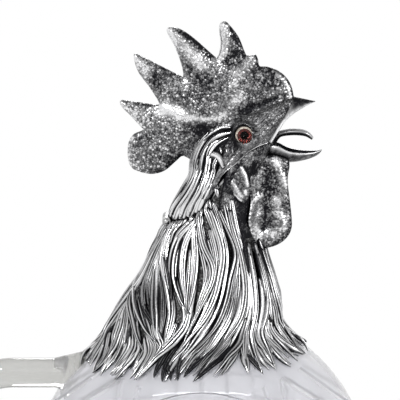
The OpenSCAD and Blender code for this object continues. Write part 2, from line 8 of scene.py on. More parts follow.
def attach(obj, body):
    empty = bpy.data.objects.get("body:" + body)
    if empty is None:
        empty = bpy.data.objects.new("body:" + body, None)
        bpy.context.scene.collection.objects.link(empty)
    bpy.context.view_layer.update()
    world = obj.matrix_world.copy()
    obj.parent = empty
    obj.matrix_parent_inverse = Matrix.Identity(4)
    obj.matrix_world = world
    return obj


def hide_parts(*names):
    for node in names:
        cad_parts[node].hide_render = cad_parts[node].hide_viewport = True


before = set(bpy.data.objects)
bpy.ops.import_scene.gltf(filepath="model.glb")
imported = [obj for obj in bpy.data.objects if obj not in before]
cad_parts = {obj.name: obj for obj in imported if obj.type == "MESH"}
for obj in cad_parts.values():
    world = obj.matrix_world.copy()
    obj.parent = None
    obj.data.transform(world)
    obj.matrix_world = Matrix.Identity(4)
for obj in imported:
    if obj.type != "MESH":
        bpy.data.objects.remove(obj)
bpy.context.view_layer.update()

# The glass ball is blown thick, ground flat underneath and cut on the wheel. Two round panels of
# crossing cuts face the sides, and between them shallow slanting cuts fan out from under the
# feathers. Everything silver stands on it.
mm = 0.001
ball_r = 72
ball_z = 61.156
glass_tint = (0.93, 0.93, 0.96, 1)
polish = 0.02
smear_size = 18
wave_size = 30
wave_depth = 0.12
cut_half = 1.0
cut_depth = 0.7
# the picture looks slightly down, so that a nearer place seems lower
camera_tilt = math.radians(9)
camera_drop = math.tan(camera_tilt)


def fill(node, inputs):
    """Sets a node's inputs to values, or links them to sockets."""
    for name, value in inputs.items():
        if isinstance(value, bpy.types.NodeSocket):
            node.id_data.links.new(value, node.inputs[name])
        else:
            node.inputs[name].default_value = value


def new_node(tree, kind, inputs={}, **settings):
    node = tree.nodes.new("ShaderNode" + kind)
    for name, value in settings.items():
        setattr(node, name, value)
    fill(node, inputs)
    return node.outputs


def material(name, colour, rough, metallic=0.0):
    finish = bpy.data.materials.new(name)
    finish.use_nodes = True
    shader = finish.node_tree.nodes["Principled BSDF"]
    fill(shader, {"Base Color": colour, "Roughness": rough, "Metallic": metallic})
    return finish, finish.node_tree, shader


def noise_node(tree, size, detail=3.0, stretch=None):
    """Noise whose grains are about that many millimetres across."""
    place = new_node(tree, "TexCoord")["Object"]
    if stretch:
        place = new_node(tree, "Mapping", {"Vector": place, "Scale": stretch})["Vector"]
    grains = {"Vector": place, "Scale": 1 / (size * mm), "Detail": detail}
    return new_node(tree, "TexNoise", grains)["Fac"]


def ramp_node(tree, source, *stops):
    """A ramp from (place, grey or colour) stops."""
    ramp = tree.nodes.new("ShaderNodeValToRGB")
    while len(ramp.color_ramp.elements) < len(stops):
        ramp.color_ramp.elements.new(1.0)
    for element, (place, tone) in zip(ramp.color_ramp.elements, stops):
        element.position = place
        element.color = (*tone, 1) if isinstance(tone, tuple) else (tone, tone, tone, 1)
    fill(ramp, {"Fac": source})
    return ramp.outputs["Color"]


def mottle(shader, size, *stops):
    """Colours the shader by a ramp over noise."""
    tree = shader.id_data
    fill(shader, {"Base Color": ramp_node(tree, noise_node(tree, size), *stops)})


def add_bump(shader, height, depth):
    """Bump of that many millimetres on the shader, on top of any that it has."""
    bump = {"Height": height, "Distance": depth * mm}
    for link in shader.inputs["Normal"].links:
        bump["Normal"] = link.from_socket
    fill(shader, {"Normal": new_node(shader.id_data, "Bump", bump)["Normal"]})


def blown_glass(name, tint, wave, clear=0.66, ior=1.4):
    """Polished glass with slow waves of that size and a few smears."""
    finish, tree, shader = material(name, tint, polish)
    smears = ramp_node(tree, noise_node(tree, smear_size), (0.35, 0.01), (0.75, 0.06))
    fill(shader, {"Transmission Weight": clear, "IOR": ior, "Roughness": smears})
    add_bump(shader, noise_node(tree, wave, 1.0), wave_depth)
    return finish


def math_node(tree, operation, *values):
    """A sum on numbers or on the outputs of other nodes."""
    return new_node(tree, "Math", dict(enumerate(values)), operation=operation)[0]


def wheel_cuts(tree, lines, half_width):
    """How deep wheel cuts go, 0 to 1. Each runs from one place on through another, in x and z as
    seen from the side."""

    def node(*values):
        return math_node(tree, *values)

    place = new_node(tree, "TexCoord")["Object"]
    axes = new_node(tree, "SeparateXYZ", {0: place})
    x = node("ABSOLUTE", axes["X"])
    nearer = node("MULTIPLY", node("ABSOLUTE", axes["Y"]), camera_drop)
    z = node("SUBTRACT", axes["Z"], nearer)
    deepest = 0.0
    for (x0, z0), (x1, z1) in lines:
        long = math.hypot(x1 - x0, z1 - z0)
        run_x, run_z = (x1 - x0) / long, (z1 - z0) / long
        from_x, from_z = node("SUBTRACT", x, x0 * mm), node("SUBTRACT", z, z0 * mm)
        along = node("ADD", node("MULTIPLY", from_x, run_x), node("MULTIPLY", from_z, run_z))
        off = node("SUBTRACT", node("MULTIPLY", from_x, run_z), node("MULTIPLY", from_z, run_x))
        near = node("DIVIDE", node("ABSOLUTE", off), -half_width * mm)
        depth = node("MAXIMUM", node("ADD", near, 1.0), 0.0)
        started = node("MULTIPLY", node("GREATER_THAN", along, 0.0), depth)
        deepest = node("MAXIMUM", started, deepest)
    return deepest


def dress(node, finish):
    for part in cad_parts[node].material_slots:
        part.material = finish


slanting_cuts = [
    ((32.7, 106.2), (46.6, 97.4)), ((32.7, 106.2), (34.5, 96.3)), ((25.7, 103.2), (27.9, 96.3)),
    ((40.7, 110), (58.9, 96.7)),
]
cut_glass = blown_glass("cut_glass", glass_tint, wave_size)
tree = cut_glass.node_tree
add_bump(tree.nodes["Principled BSDF"], wheel_cuts(tree, slanting_cuts, cut_half), -cut_depth)
dress("glass_body", cut_glass)

# The handle is a loop of solid glass rod. Its two ends were laid on the ball hot, and each has
# spread into a pad.
handle_tint = (0.66, 0.66, 0.64, 1)
handle_wave = 22
handle_clear = 0.85
handle_ior = 1.5
dress("glass_handle", blown_glass("handle_glass", handle_tint, handle_wave, handle_clear, handle_ior))

# Plaster fills the gap round the glass neck, and a silver sleeve bedded in it carries a plate
# that closes the throat.
plaster_light = (0.90, 0.88, 0.83)
plaster_dark = (0.78, 0.76, 0.70)
plaster, tree, shader = material("plaster", (0.86, 0.84, 0.78, 1), 0.9)
mottle(shader, 2, (0.3, plaster_dark), (0.7, plaster_light))
add_bump(shader, noise_node(tree, 1.2), 0.2)
dress("cement_ring", plaster)


def sheet_silver(name, dark, light, rough):
    """Silver that was spun or filed, with tarnish and faint lines."""
    tarnish_size, line_size, line_depth = 4, 1.5, 0.03
    finish, tree, shader = material(name, (light, light, light, 1), rough, 1.0)
    mottle(shader, tarnish_size, (0.3, dark), (0.65, light))
    lines = noise_node(tree, line_size, 2.0, (1, 1, 6))
    dull = ramp_node(tree, lines, (0.3, rough), (0.7, rough + 0.15))
    fill(shader, {"Roughness": dull})
    add_bump(shader, lines, line_depth)
    return finish


inner_silver = sheet_silver("inner_silver", 0.35, 0.7, 0.3)
for node in ("neck_sleeve", "throat_floor", "rim_bezel"):
    dress(node, inner_silver)

# The neck is one hollow silver casting, oxidised nearly black. It shows only in the gaps between
# the feathers and on the throat.
silver_light = (0.86, 0.86, 0.87)
silver_dark = (0.012, 0.012, 0.014)
hollow_reach = 2.2
hollow_samples = 8
speck_share = 0.3


def oxidised_silver(name, grain, grain_depth, rough=0.22, full=0.9):
    """Cast silver, blackened and polished back. A value on the mesh, 0 to 1, says how far it is
    polished and carries painted highlights and painted shade; it is bright from full on. Hollows stay
    dark."""
    finish, tree, shader = material(name, (*silver_light, 1), rough, 1.0)
    surface_tone = new_node(tree, "Attribute", attribute_name="surface_tone")["Fac"]
    speck = noise_node(tree, grain)
    rubbed = math_node(tree, "MULTIPLY_ADD", speck, speck_share, surface_tone)
    reach = {"Distance": hollow_reach * mm}
    shade = new_node(tree, "AmbientOcclusion", reach, samples=hollow_samples)["AO"]
    shaded_brightness = math_node(tree, "MULTIPLY", rubbed, ramp_node(tree, shade, (0.25, 0.1), (0.85, 1.0)))
    grey = tuple(0.45 * low + 0.55 * high * 0.55 for low, high in zip(silver_dark, silver_light))
    tone = ramp_node(tree, shaded_brightness, (0.22, silver_dark), (0.6 * full, grey), (full, silver_light))
    fill(shader, {"Base Color": tone, "Roughness": ramp_node(tree, shaded_brightness, (0.2, 0.6), (0.8, rough))})
    add_bump(shader, speck, grain_depth)
    return finish


neck_finish, tree, shader = material("black_casting", (0.05, 0.05, 0.052, 1), 0.5, 1.0)
pits = noise_node(tree, 0.8)
fill(shader, {"Base Color": ramp_node(tree, pits, (0.4, 0.015), (0.62, 0.09), (0.75, 0.4))})
add_bump(shader, pits, 0.25)
dress("neck_casting", neck_finish)

# The hackle is the mantle of long pointed feathers round the neck. Each is chased with ridges
# along its length. They lie in tiers, the upper over the lower, and cross and part as they sweep
# back and forward.
neck_rows = (0, 8)
# rows from the fringe up: back x and z, front x and z, half width, and share of the seam's wave
mantle = np.array([
    [-51.6, 111, 46.5, 111, 50.6, 0],
    [-41.9, 121.8, 37.9, 121.8, 40.3, 0],
    [-37.4, 127.9, 32.6, 128.9, 35.6, 0],
    [-31.6, 138.0, 32.4, 137.4, 31.3, 0],
    [-24.8, 148.3, 30.2, 146.8, 27.6, 0],
    [-19.6, 159.7, 26.8, 159.7, 23.6, 0],
    [-16.1, 167.7, 23.8, 175.7, 20.1, 0.1],
    [-14.2, 171.7, 25.2, 190.7, 18.1, 0.6],
    [-13.6, 172.9, 29.6, 206.1, 17.0, 1],
])
# the seam's wave sags behind, swells in front and has a step at the sides
seam_sag = 4.6
seam_swell = 5.0
seam_step = 3.2
step_at, step_wide = 0.04, 0.17
# the lowest rows lie on the ball, and over the next ones the skin leaves it
ball_gap = 0.2
lying_rows, leaving_rows = 0.2, 1.7
rng = np.random.default_rng(11)


def spline(rows, v):
    """Rows blended smoothly at places v, where whole numbers are the rows themselves."""
    i = np.clip(np.floor(v).astype(int), 0, len(rows) - 2)
    u = (v - i)[..., None]
    last = len(rows) - 1
    a, b, c, d = rows[np.maximum(i - 1, 0)], rows[i], rows[i + 1], rows[np.minimum(i + 2, last)]
    return b + 0.5 * u * (c - a + u * (2 * a - 5 * b + 4 * c - d + u * (3 * (b - c) + d - a)))


def smooth_line(points, count):
    """That many points on a smooth line through the given ones."""
    return spline(np.array(points, float), np.linspace(0, len(points) - 1, count))


def hump(off, wide, power=2):
    """1 where off is 0, fading out over that width."""
    return np.exp(-(off / wide) ** power)


def ring_point(rows, v, angle):
    """The point of a form at height v and an angle round it, 0 at the front and 90 at the left."""
    row = spline(rows, v)
    back, front = row[..., 0:2], row[..., 2:4]
    middle, half = (back + front) / 2, (front - back) / 2
    c, s = np.cos(np.radians(angle)), np.sin(np.radians(angle))
    wave = np.where(c < 0, seam_sag, seam_swell) * np.sin(math.pi * c)
    wave = wave + seam_step * hump(c - step_at, step_wide)
    flat = middle + half * c[..., None]
    return np.stack([flat[..., 0], row[..., 4] * s, flat[..., 1] + row[..., 5] * wave], axis=-1)


def on_neck(v, angle):
    """A point of the neck's skin. Its lowest rows lie on the ball."""
    p = ring_point(mantle, v, angle)
    rise = (ball_r + ball_gap) ** 2 - p[..., 0] ** 2 - p[..., 1] ** 2
    ball = ball_z + np.sqrt(np.maximum(rise, 0))
    free = np.clip((v - lying_rows) / leaving_rows, 0, 1)
    free = free * free * (3 - 2 * free)
    p[..., 2] = ball * (1 - free) + p[..., 2] * free
    return p


def lifted(surface, v, angle, lift):
    """Points over a surface, with the slopes along v and round it, in millimetres."""
    dv, da = 0.01, 0.1
    p = surface(v, angle)
    along = (surface(v + dv, angle) - p) / dv
    around = (surface(v, angle + da) - p) / da
    out = np.cross(around, along)
    out /= np.linalg.norm(out, axis=-1, keepdims=True) + 1e-9
    return p + out * lift[..., None], along, around, out


def solve_step(step, along, around):
    """How far v and the angle change for a step over the surface."""
    aa, ab, bb = (along * along).sum(-1), (along * around).sum(-1), (around * around).sum(-1)
    pa, pb = (step * along).sum(-1), (step * around).sum(-1)
    det = aa * bb - ab * ab + 1e-12
    return (pa * bb - pb * ab) / det, (pb * aa - pa * ab) / det


def grid_faces(rows, columns, wrap):
    """The faces of a grid of points, which joins up round its columns to wrap."""
    i, j = np.mgrid[0:rows - 1, 0:columns if wrap else columns - 1].reshape(2, -1)
    a, b = i * columns + j, i * columns + (j + 1) % columns
    return np.stack([a, b, b + columns, a + columns], axis=1).tolist()


feather_across = 15
feather_t = 0.35
rib_h, chased_h, leaning_h = 0.34, 0.07, 0.3
groove_tone, rib_tone, chased_tone = 0.06, 0.76, 0.22
full_height_half = 1.2
dark_root = 1.3


def feather(surface, v, angle, half, lift, ridges, crown):
    """One feather over a surface: a ridged top, two plain under faces, and square ends. v, angle,
    half width and lift are its values from root to tip. Returns points, faces and relief."""
    n, across = len(v), feather_across
    s = np.linspace(-1, 1, across)
    centre, along, around, out = lifted(surface, v, angle, np.zeros(n))
    way = np.gradient(centre, axis=0)
    way /= np.linalg.norm(way, axis=1, keepdims=True) + 1e-9
    side = np.cross(way, out)
    dv, da = solve_step(side, along, around)
    dv, da = np.clip(dv, -0.5, 0.5), np.clip(da, -20, 20)
    vv = v[:, None] + dv[:, None] * s * half[:, None]
    aa = angle[:, None] + da[:, None] * s * half[:, None]
    t = np.linspace(0, 1, n)[:, None]
    phase = rng.uniform(-0.15, 0.15)
    chased = smooth_line(rng.uniform(-1, 1, (6, across)), n)
    sway = 0.2 * np.sin(5 * t + phase * 9)
    rib = 0.5 + 0.5 * np.cos(math.pi * (ridges * s + (ridges + 1) % 2 + phase + sway))
    ribbed = rib_h * rib * np.minimum(1, 4 * (1 - t))
    height = crown * (1 - np.abs(s) ** 2.4) + ribbed + chased_h * chased
    height = height + rng.uniform(-leaning_h, leaning_h) * s * t
    narrow = np.minimum(1, half[:, None] / full_height_half)
    top = lifted(surface, vv, aa, lift[:, None] + height * narrow)[0]
    under = lifted(surface, v, angle, np.maximum(lift - feather_t, 0.05))[0]
    tone = groove_tone + rib_tone * rib ** 1.8 + chased_tone * chased
    tone = tone * rng.uniform(0.6, 1.12) * (1 - 0.75 * np.abs(s) ** 7)
    steps = np.linalg.norm(np.diff(centre, axis=0), axis=1)
    run = np.concatenate([[0], np.cumsum(steps)])[:, None]
    tone = np.clip(tone, 0.02, 1) * np.clip(run / dark_root, 0, 1)
    points = np.concatenate([top.reshape(-1, 3), under])
    surface_tone = np.concatenate([np.broadcast_to(tone, (n, across)).ravel(), np.zeros(n)])
    mid, faces = n * across, grid_faces(n, across, False)
    for k in range(n - 1):
        left, right = k * across, k * across + across - 1
        faces.append([left, left + across, mid + k + 1, mid + k])
        faces.append([mid + k, mid + k + 1, right + across, right])
    faces.append([*range(across - 1, -1, -1), mid])
    faces.append([*range(mid - across, mid), mid + n - 1])
    return points, faces, surface_tone


def placed(name, data):
    made = bpy.data.objects.new(name, data)
    bpy.context.scene.collection.objects.link(made)
    return made


def piece(name, parts, finish, body, nodes):
    """One object made of parts, each (points, faces, relief), that stands for CAD nodes."""
    base, faces = 0, []
    for points, part_faces, _ in parts:
        faces.extend([[base + k for k in face] for face in part_faces])
        base += len(points)
    mesh = bpy.data.meshes.new(name)
    mesh.from_pydata((np.concatenate([p[0] for p in parts]) * mm).tolist(), [], faces)
    layer = mesh.attributes.new("surface_tone", "FLOAT", "POINT")
    layer.data.foreach_set("value", np.concatenate([p[2] for p in parts]).astype(np.float32))
    mesh.polygons.foreach_set("use_smooth", [True] * len(mesh.polygons))
    mesh.materials.append(finish)
    made = placed(name, mesh)
    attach(made, body)
    if nodes:
        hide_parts(*nodes)


def seen_places(surface, low, top, spots):
    """The places, as v and angle, that show at x and z on the near side of a surface to a camera
    that looks slightly down."""
    v, angle = np.meshgrid(np.linspace(low, top, 300), np.linspace(-179, -1, 260), indexing="ij")
    p = surface(v, angle)
    shown_z = p[..., 2] + camera_drop * p[..., 1]
    nearest = [np.argmin((p[..., 0] - x) ** 2 + (shown_z - z) ** 2) for x, z in spots]
    return np.stack([v.flat[nearest], angle.flat[nearest]], axis=1)


def combed(lines, spread):
    """The way that feathers lie at a place between lines of places. Spread turns v and angle into
    millimetres."""
    merging = 5
    smooth = [smooth_line(line * spread, 40) for line in lines]
    places = np.concatenate(smooth)
    ways = np.concatenate([np.gradient(line, axis=0) for line in smooth])
    ways /= np.linalg.norm(ways, axis=1, keepdims=True)

    def way_at(place):
        way = (1 / (((places - place) ** 2).sum(1) + merging) ** 2) @ ways
        return way / np.linalg.norm(way)

    return way_at


strand_points = 28
fewest_points = 8


def strand(way_at, spread, place, length, low, top):
    """A path of v and angle that follows the combing both ways from a place, within its limits."""
    step = length / strand_points
    path = [np.array(place) * spread]
    for turn in (-1, 1):
        for _ in range(strand_points // 2):
            at = path[-1] if turn > 0 else path[0]
            at = at + turn * step * way_at(at)
            if not low <= at[0] / spread[0] <= top(at[1] / spread[1]):
                break
            path.insert(len(path) if turn > 0 else 0, at)
    if len(path) < fewest_points:
        return None
    return smooth_line(np.array(path) / spread, strand_points)


root_share, belly_share = 0.4, 0.7
tip_half = 0.06


def pointed(path, side, surface, half, lift, ridges, crown=0.8, blunt=False, rubbed=1.0):
    """A feather along a path on one side of the bird, narrow at the root and pointed unless blunt.
    Lift is at the root and at the tip. The last argument says how bright it is along its length, and on
    the hackle carries painted shade."""
    t = np.linspace(0, 1, len(path))
    width = half * (root_share + belly_share * np.sin(math.pi * 0.66 * np.minimum(t * 1.1, 1)))
    if not blunt:
        width = width * (1 - t ** 1.8) ** 0.85 + tip_half
    rise = lift[0] + (lift[1] - lift[0]) * t
    if surface is on_neck:
        rise = rise * np.clip(0.3 + 0.8 * path[:, 0], 0.3, 1)
    points, faces, surface_tone = feather(surface, path[:, 0], side * path[:, 1], width, rise, ridges, crown)
    surface_tone[:-len(path)] *= np.repeat(np.broadcast_to(rubbed, len(path)), feather_across)
    return points, faces, surface_tone


def pair(path, *look, **more):
    """The same feather on both sides of the bird."""
    return [pointed(path, side, *look, **more) for side in (1, -1)]


# how many rows lower they start under the ear lobe and the wattle, from what angle, and how fast
seam_row = 7.88
lower_starts = ((1.1, 92, 8), (1.3, 62, 6))
# the dark places in the fork of the locks and under the wattles: x, z, width and height
hackle_shade = ((-15.5, 138, 7, 13), (6, 117, 7, 4.5), (26, 157, 10, 7), (13, 137, 4, 8))


def hackle_top(angle):
    row = seam_row
    for lower, side, fade in lower_starts:
        row -= lower * min(1, max(0, (side - abs(angle)) / fade))
    return row


def bright(path, deepest=0.45):
    """How bright the hackle is along a path: painted shade, darkest in the dark places."""
    x, y, z = on_neck(path[:, 0], path[:, 1]).T
    deep = 0 * x
    for mid_x, mid_z, wide, tall in hackle_shade:
        off_z = z - np.abs(y) * camera_drop - mid_z
        deep += np.exp(-((x - mid_x) / wide) ** 2 - (off_z / tall) ** 2)
    return 1 - (1 - deepest) * np.minimum(1, deep)


# the locks that lie on top, from root to tip, with their half width and ridges
hackle_locks = [
    ([(-15.4, 166), (-20.8, 153.9), (-31, 137.2), (-37.6, 127), (-47.4, 112.4)], 1.4, 2),
    ([(-12.9, 167.4), (-15.6, 157.3), (-13.6, 144.4), (-12.3, 133.6), (-14.3, 122.7)], 1.1, 1),
    ([(-20, 158), (-25.7, 148.5), (-26.7, 139), (-24, 129.5), (-17.8, 120.8)], 1.4, 1),
    ([(-24, 151), (-28.3, 140), (-27.6, 130), (-25.7, 122.7), (-22.6, 115)], 1.6, 2),
    ([(-30.4, 135), (-31.4, 127), (-34, 119.3), (-38.4, 112.6), (-45.1, 107.8)], 1.7, 2),
    ([(-27, 128.1), (-26.5, 121.5), (-29, 113.5), (-35.5, 105)], 1.7, 2),
    ([(-23, 123), (-22.5, 116.5), (-25.5, 110), (-29, 106)], 1.4, 1),
    ([(-4.9, 133.6), (-7.6, 125.5), (-15.6, 116.5), (-26.4, 105.6)], 2.5, 3),
    ([(-3.6, 169.5), (-8.8, 162.5), (-10.6, 151.2), (-8.8, 140), (-5.2, 133.2)], 1.2, 1),
    ([(-1.9, 169.5), (-1.7, 156), (-2.9, 144), (-5.2, 134)], 1.3, 2),
    ([(-0.2, 174.2), (0.6, 163), (4.3, 151.2), (0.5, 137.6), (-6.9, 120)], 1.9, 3),
    ([(3.8, 176.9), (7.8, 162), (6.5, 145.8), (0.5, 129.5), (-10.2, 115.6)], 1.6, 2),
    ([(7.1, 176.9), (12.9, 160.7), (11.2, 145.8), (5.4, 127), (-2.2, 117.5)], 1.6, 2),
    ([(11.2, 176.9), (15.2, 158), (17, 140), (11.8, 124.8), (-3.4, 105.2)], 2.0, 3),
    ([(17.9, 131.5), (15.4, 122), (10.5, 114), (4.4, 107.2)], 1.9, 2),
    ([(19.2, 158), (21.2, 143.1), (19.9, 126), (21.5, 116), (24.8, 108.3)], 1.5, 2),
    ([(22.6, 158), (25.9, 141.7), (24.1, 128), (27.3, 116), (30.2, 109.4)], 1.6, 2),
    ([(27.3, 128.8), (30, 121.5), (35, 116), (39.5, 112.6)], 1.6, 2),
    ([(24.3, 160), (27.4, 148.5), (30, 137.6), (32.6, 127), (39, 117.6)], 1.3, 2),
    ([(-44.3, 121), (-47.4, 116), (-50, 110.3)], 1.3, 1),
    ([(-39.9, 118.8), (-42.1, 112.9), (-44.6, 107.8)], 1.3, 1),
    ([(-35.6, 118.8), (-37.7, 112.9), (-41.3, 106.9)], 1.4, 2),
    ([(-25.4, 116.6), (-29.1, 111.5), (-35, 105.4)], 1.6, 2),
    ([(21.6, 119.5), (25.2, 113.7), (29.9, 110)], 1.4, 1),
    ([(25.9, 120.3), (31.7, 113.7), (36.8, 110.4)], 1.5, 2),
    ([(31.7, 120.3), (36.8, 116.6), (41.8, 114.8)], 1.4, 1),
    ([(37.5, 123.9), (41, 120.3), (44.1, 116)], 1.3, 1),
]
# dark locks in the gaps between them, painted shade, from root to tip, with their half width
hackle_shade_locks = [
    ([(-32.3, 130.5), (-35.6, 126.8), (-38.5, 122.4), (-39.9, 117.7)], 1.6),
    ([(-25.4, 146.6), (-24.7, 140), (-22.9, 134.2), (-19.6, 129), (-15.3, 123.2)], 1.9),
    ([(-3.9, 170), (-6.6, 164.2), (-8.2, 157.6), (-8.4, 150.3), (-7.2, 142.9)], 1.3),
    ([(-14.7, 167.1), (-14.2, 157.6), (-12.8, 149.5), (-12.1, 140), (-12.8, 131.2)], 1.3),
    ([(1.5, 167.1), (2.4, 160.5), (4.6, 154.7), (5.7, 148.8)], 1.2),
    ([(5.9, 167.8), (8.2, 161.2), (9.1, 153.9), (8, 145.9)], 1.5),
    ([(12.9, 149.5), (11.1, 142.9), (8.2, 135.6), (2.8, 129.8)], 1.8),
    ([(16.4, 168), (17.4, 158), (19, 148.8)], 1.8),
    ([(25.2, 137.1), (25.9, 132.7), (28.5, 129)], 1.8),
    ([(31, 137), (32, 132.7), (34, 126.8)], 1.6),
    ([(12.9, 118.8), (7.8, 115.1), (2, 110), (-3.4, 105.3)], 2.4),
    ([(17.6, 115.9), (20.9, 112.9), (25.2, 108.3)], 1.6),
    ([(-4, 121), (-8.4, 113.5), (-9.5, 105.6)], 1.9),
    ([(-9.5, 119.5), (-14, 112), (-16, 105.2)], 1.9),
    ([(-8.5, 118), (-12, 111.5), (-12.6, 105.6)], 1.9),
    ([(-13.5, 118), (-17, 112), (-19.6, 106.6)], 1.8),
    ([(4, 117), (-3, 112), (-7.2, 106.8)], 1.8),
    ([(-28.3, 129.8), (-29.4, 123.9), (-31.9, 117.3), (-35, 111.5)], 1.1),
    ([(-22.9, 121), (-25.4, 115.1), (-29.2, 109.5)], 1.1),
    ([(-20.4, 140), (-18.9, 134.2), (-16.8, 127.6)], 1.2),
]
neck_spread = np.array([9.5, 0.55])
hackle_lines = [seen_places(on_neck, *neck_rows, spots) for spots, _, _ in hackle_locks]
straight_back = np.array([[7.9, -179.5], [4, -179.5], [-0.5, -179.5]])
straight_front = np.array([[5.4, -0.5], [3, -0.5], [-0.5, -0.5]])
hackle_way = combed([*hackle_lines, straight_back, straight_front], neck_spread)
# each tier: the row of its middle, feathers a side, length and half width
hackle_tiers = [
    (0.3, 20, 22, 2.6), (0.9, 20, 26, 2.6), (1.6, 20, 30, 2.4), (2.4, 19, 32, 2.3), (3.2, 18, 32, 2.2),
    (4.0, 18, 30, 2.0), (4.8, 17, 28, 1.9), (5.6, 16, 26, 1.7), (6.4, 17, 22, 1.6), (7.1, 17, 16, 1.4),
    (7.5, 18, 12, 1.2),
]
hackle = []
for tier, (row, count, long, half) in enumerate(hackle_tiers):
    for side in (-1, 1):
        for i in range(count):
            angle = -178 + 176 * (i + 0.5 * (tier % 2) + rng.uniform(-0.3, 0.3)) / count
            if row > hackle_top(angle):
                continue
            place = (row + rng.uniform(-0.3, 0.3), angle)
            low = 0.27 + rng.uniform(-0.2, 0.15)
            length = long * rng.uniform(0.75, 1.25)
            path = strand(hackle_way, neck_spread, place, length, low, hackle_top)
            if path is None:
                continue
            lift = (0.3, rng.uniform(0.9, 1.8))
            ridges = rng.choice([1, 2, 3, 3, 4])
            wide = half * rng.uniform(0.55, 1.3)
            hackle.append(pointed(path, -side, on_neck, wide, lift, ridges, rubbed=bright(path)))
# these locks' low tone is painted shade for the gaps
for spots, half in hackle_shade_locks:
    path = smooth_line(seen_places(on_neck, *neck_rows, spots), 24)
    hackle += pair(path, on_neck, half, (0.8, 1.8), 3, 0.5, rubbed=0.2)
for line, (_, half, ridges) in zip(hackle_lines, hackle_locks):
    path = smooth_line(line, 36)
    hackle += pair(path, on_neck, half, (1.0, 2.3), ridges, 1.0, rubbed=bright(path, 0.75))
hackle_finish = oxidised_silver("hackle_silver", 0.6, 0.03, full=0.72)
piece("hackle", hackle, hackle_finish, "jug", ["hackle_feathers"])

# The head is the lid, one hollow casting like the neck. Its skin is cast with fine pebbles round
# the eyes, rises to a brow round each eye and ends in an arch over the mouth.
head_rows = (0.05, 7)
# rows from the seam up: back x and z, front x and z, half width, and share of the seam's wave
skull_rows = np.array([
    [-13.6, 173.2, 29.6, 206.4, 17.0, 1],
    [-12.3, 178.3, 31.4, 209.9, 17.0, 0.8],
    [-8.6, 184.9, 33.4, 213.9, 16.25, 0.5],
    [-5.3, 191.9, 35.9, 217.9, 14.25, 0.2],
    [-4.6, 198.4, 37.9, 221.4, 11.5, 0],
    [-2.6, 205.9, 38.4, 223.9, 8.25, 0],
    [-0.6, 210.9, 36.4, 224.4, 4.5, 0],
    [2.4, 215.9, 33.6, 226.1, 1.8, 0],
])
eye_x, eye_z = 17.9, 209.9
setting_r = 3.8
arch_half, arch_v = 3.7, 1.42
head_around, head_up = 340, 130
head_wall = 2
brow_r, brow_h, brow_wide = setting_r - 0.3, 1.9, 1.6
pit_r, pit_depth, pit_fade = setting_r - 0.25, 3.4, 0.3
nape_sunk = 1.5
seam_sunk = 1.3


def on_head(v, angle):
    return ring_point(skull_rows, v, angle)


def pebbles(points, size):
    """Rounded grains that far apart, 1 on top and 0 between, and a chance value of each."""
    flat = points.reshape(-1, 3) / size
    near = np.full(len(flat), 9.0)
    second, chance = near.copy(), near.copy()
    scatter = np.array([[127.1, 269.5, 113.5], [311.7, 183.3, 271.9], [74.7, 246.1, 124.6]])
    for step in itertools.product((-1, 0, 1), repeat=3):
        cell = np.floor(flat) + step
        jitter = np.abs(np.sin(cell @ scatter) * 43758.5) % 1
        away = np.linalg.norm(cell + jitter - flat, axis=1)
        second = np.minimum(second, np.maximum(near, away))
        chance = np.where(away < near, jitter[:, 0], chance)
        near = np.minimum(near, away)
    dome = np.clip((second - near) / 0.4, 0, 1)
    return (dome * (2 - dome)).reshape(points.shape[:-1]), chance.reshape(points.shape[:-1])


def drift(points, size):
    """A value from -1 to 1 that wanders over about that many millimetres."""
    x, y, z = np.moveaxis(points * (2 / size), -1, 0)
    level = np.sin(x + 1.7 * np.sin(1.3 * z + 0.6))
    return 0.5 * (level + np.sin(1.3 * z + 0.7 * y + 1.9 * np.sin(0.9 * x)))


def closed_sheet(faces, under):
    """The faces of a sheet, the same turned over and that many points on, and walls between."""
    edges = {(face[k - 1], face[k]) for face in faces for k in range(len(face))}
    walls = [[b, a, under + a, under + b] for a, b in edges if (b, a) not in edges]
    return faces + [[under + k for k in reversed(face)] for face in faces] + walls


def sheet_part(top, under, tone, wrap=False):
    """A closed sheet between two grids of points."""
    points = np.concatenate([top.reshape(-1, 3), under.reshape(-1, 3)])
    faces = closed_sheet(grid_faces(*tone.shape, wrap), tone.size)
    return points, faces, np.concatenate([tone.ravel(), 0 * tone.ravel()])


around = np.arange(head_around) * 360 / head_around - 180
up = np.linspace(0, 1, head_up)[:, None]
beside = np.clip(np.abs(skull_rows[0, 4] * np.sin(np.radians(around))) / arch_half, 0, 1)
rim_v = np.where(np.abs(around) < 90, arch_v * np.sqrt(1 - beside ** 2), 0)
v = rim_v + (len(skull_rows) - 1 - rim_v) * up
angle = np.broadcast_to(around, v.shape)
skin = on_head(v, angle)
off_eye = np.hypot(skin[..., 0] - eye_x, skin[..., 2] - eye_z)
socket = np.abs(skin[..., 1]) > 4
brow = np.where(socket, brow_h * hump(off_eye - brow_r, brow_wide), 0)
pit = np.where(socket, np.clip((pit_r - off_eye) / pit_fade, 0, 1), 0)
grain, chance = pebbles(skin, 0.95)
edge = hump(v - rim_v, 0.2) * (np.abs(angle) < 88)
nape_from = 108 - 7 * np.clip((v - 3.8) / 0.6, 0, 1)
back = np.clip((np.abs(angle) - nape_from) / 6, 0, 1) * np.clip((5.6 - v) / 0.6, 0, 1)
seam_dark = np.exp(-((np.abs(angle) - 105) / 13) ** 4 - (v / 0.3) ** 4)
lift = 0.15 + 0.2 * grain * (1 - edge) + 0.25 * edge + brow
lift = lift * (1 - pit) - pit_depth * pit - nape_sunk * back
lift = lift * (1 - seam_dark) - seam_sunk * seam_dark
tone = 0.05 + grain * (0.14 + 0.38 * chance) + 0.12 * drift(skin, 7)
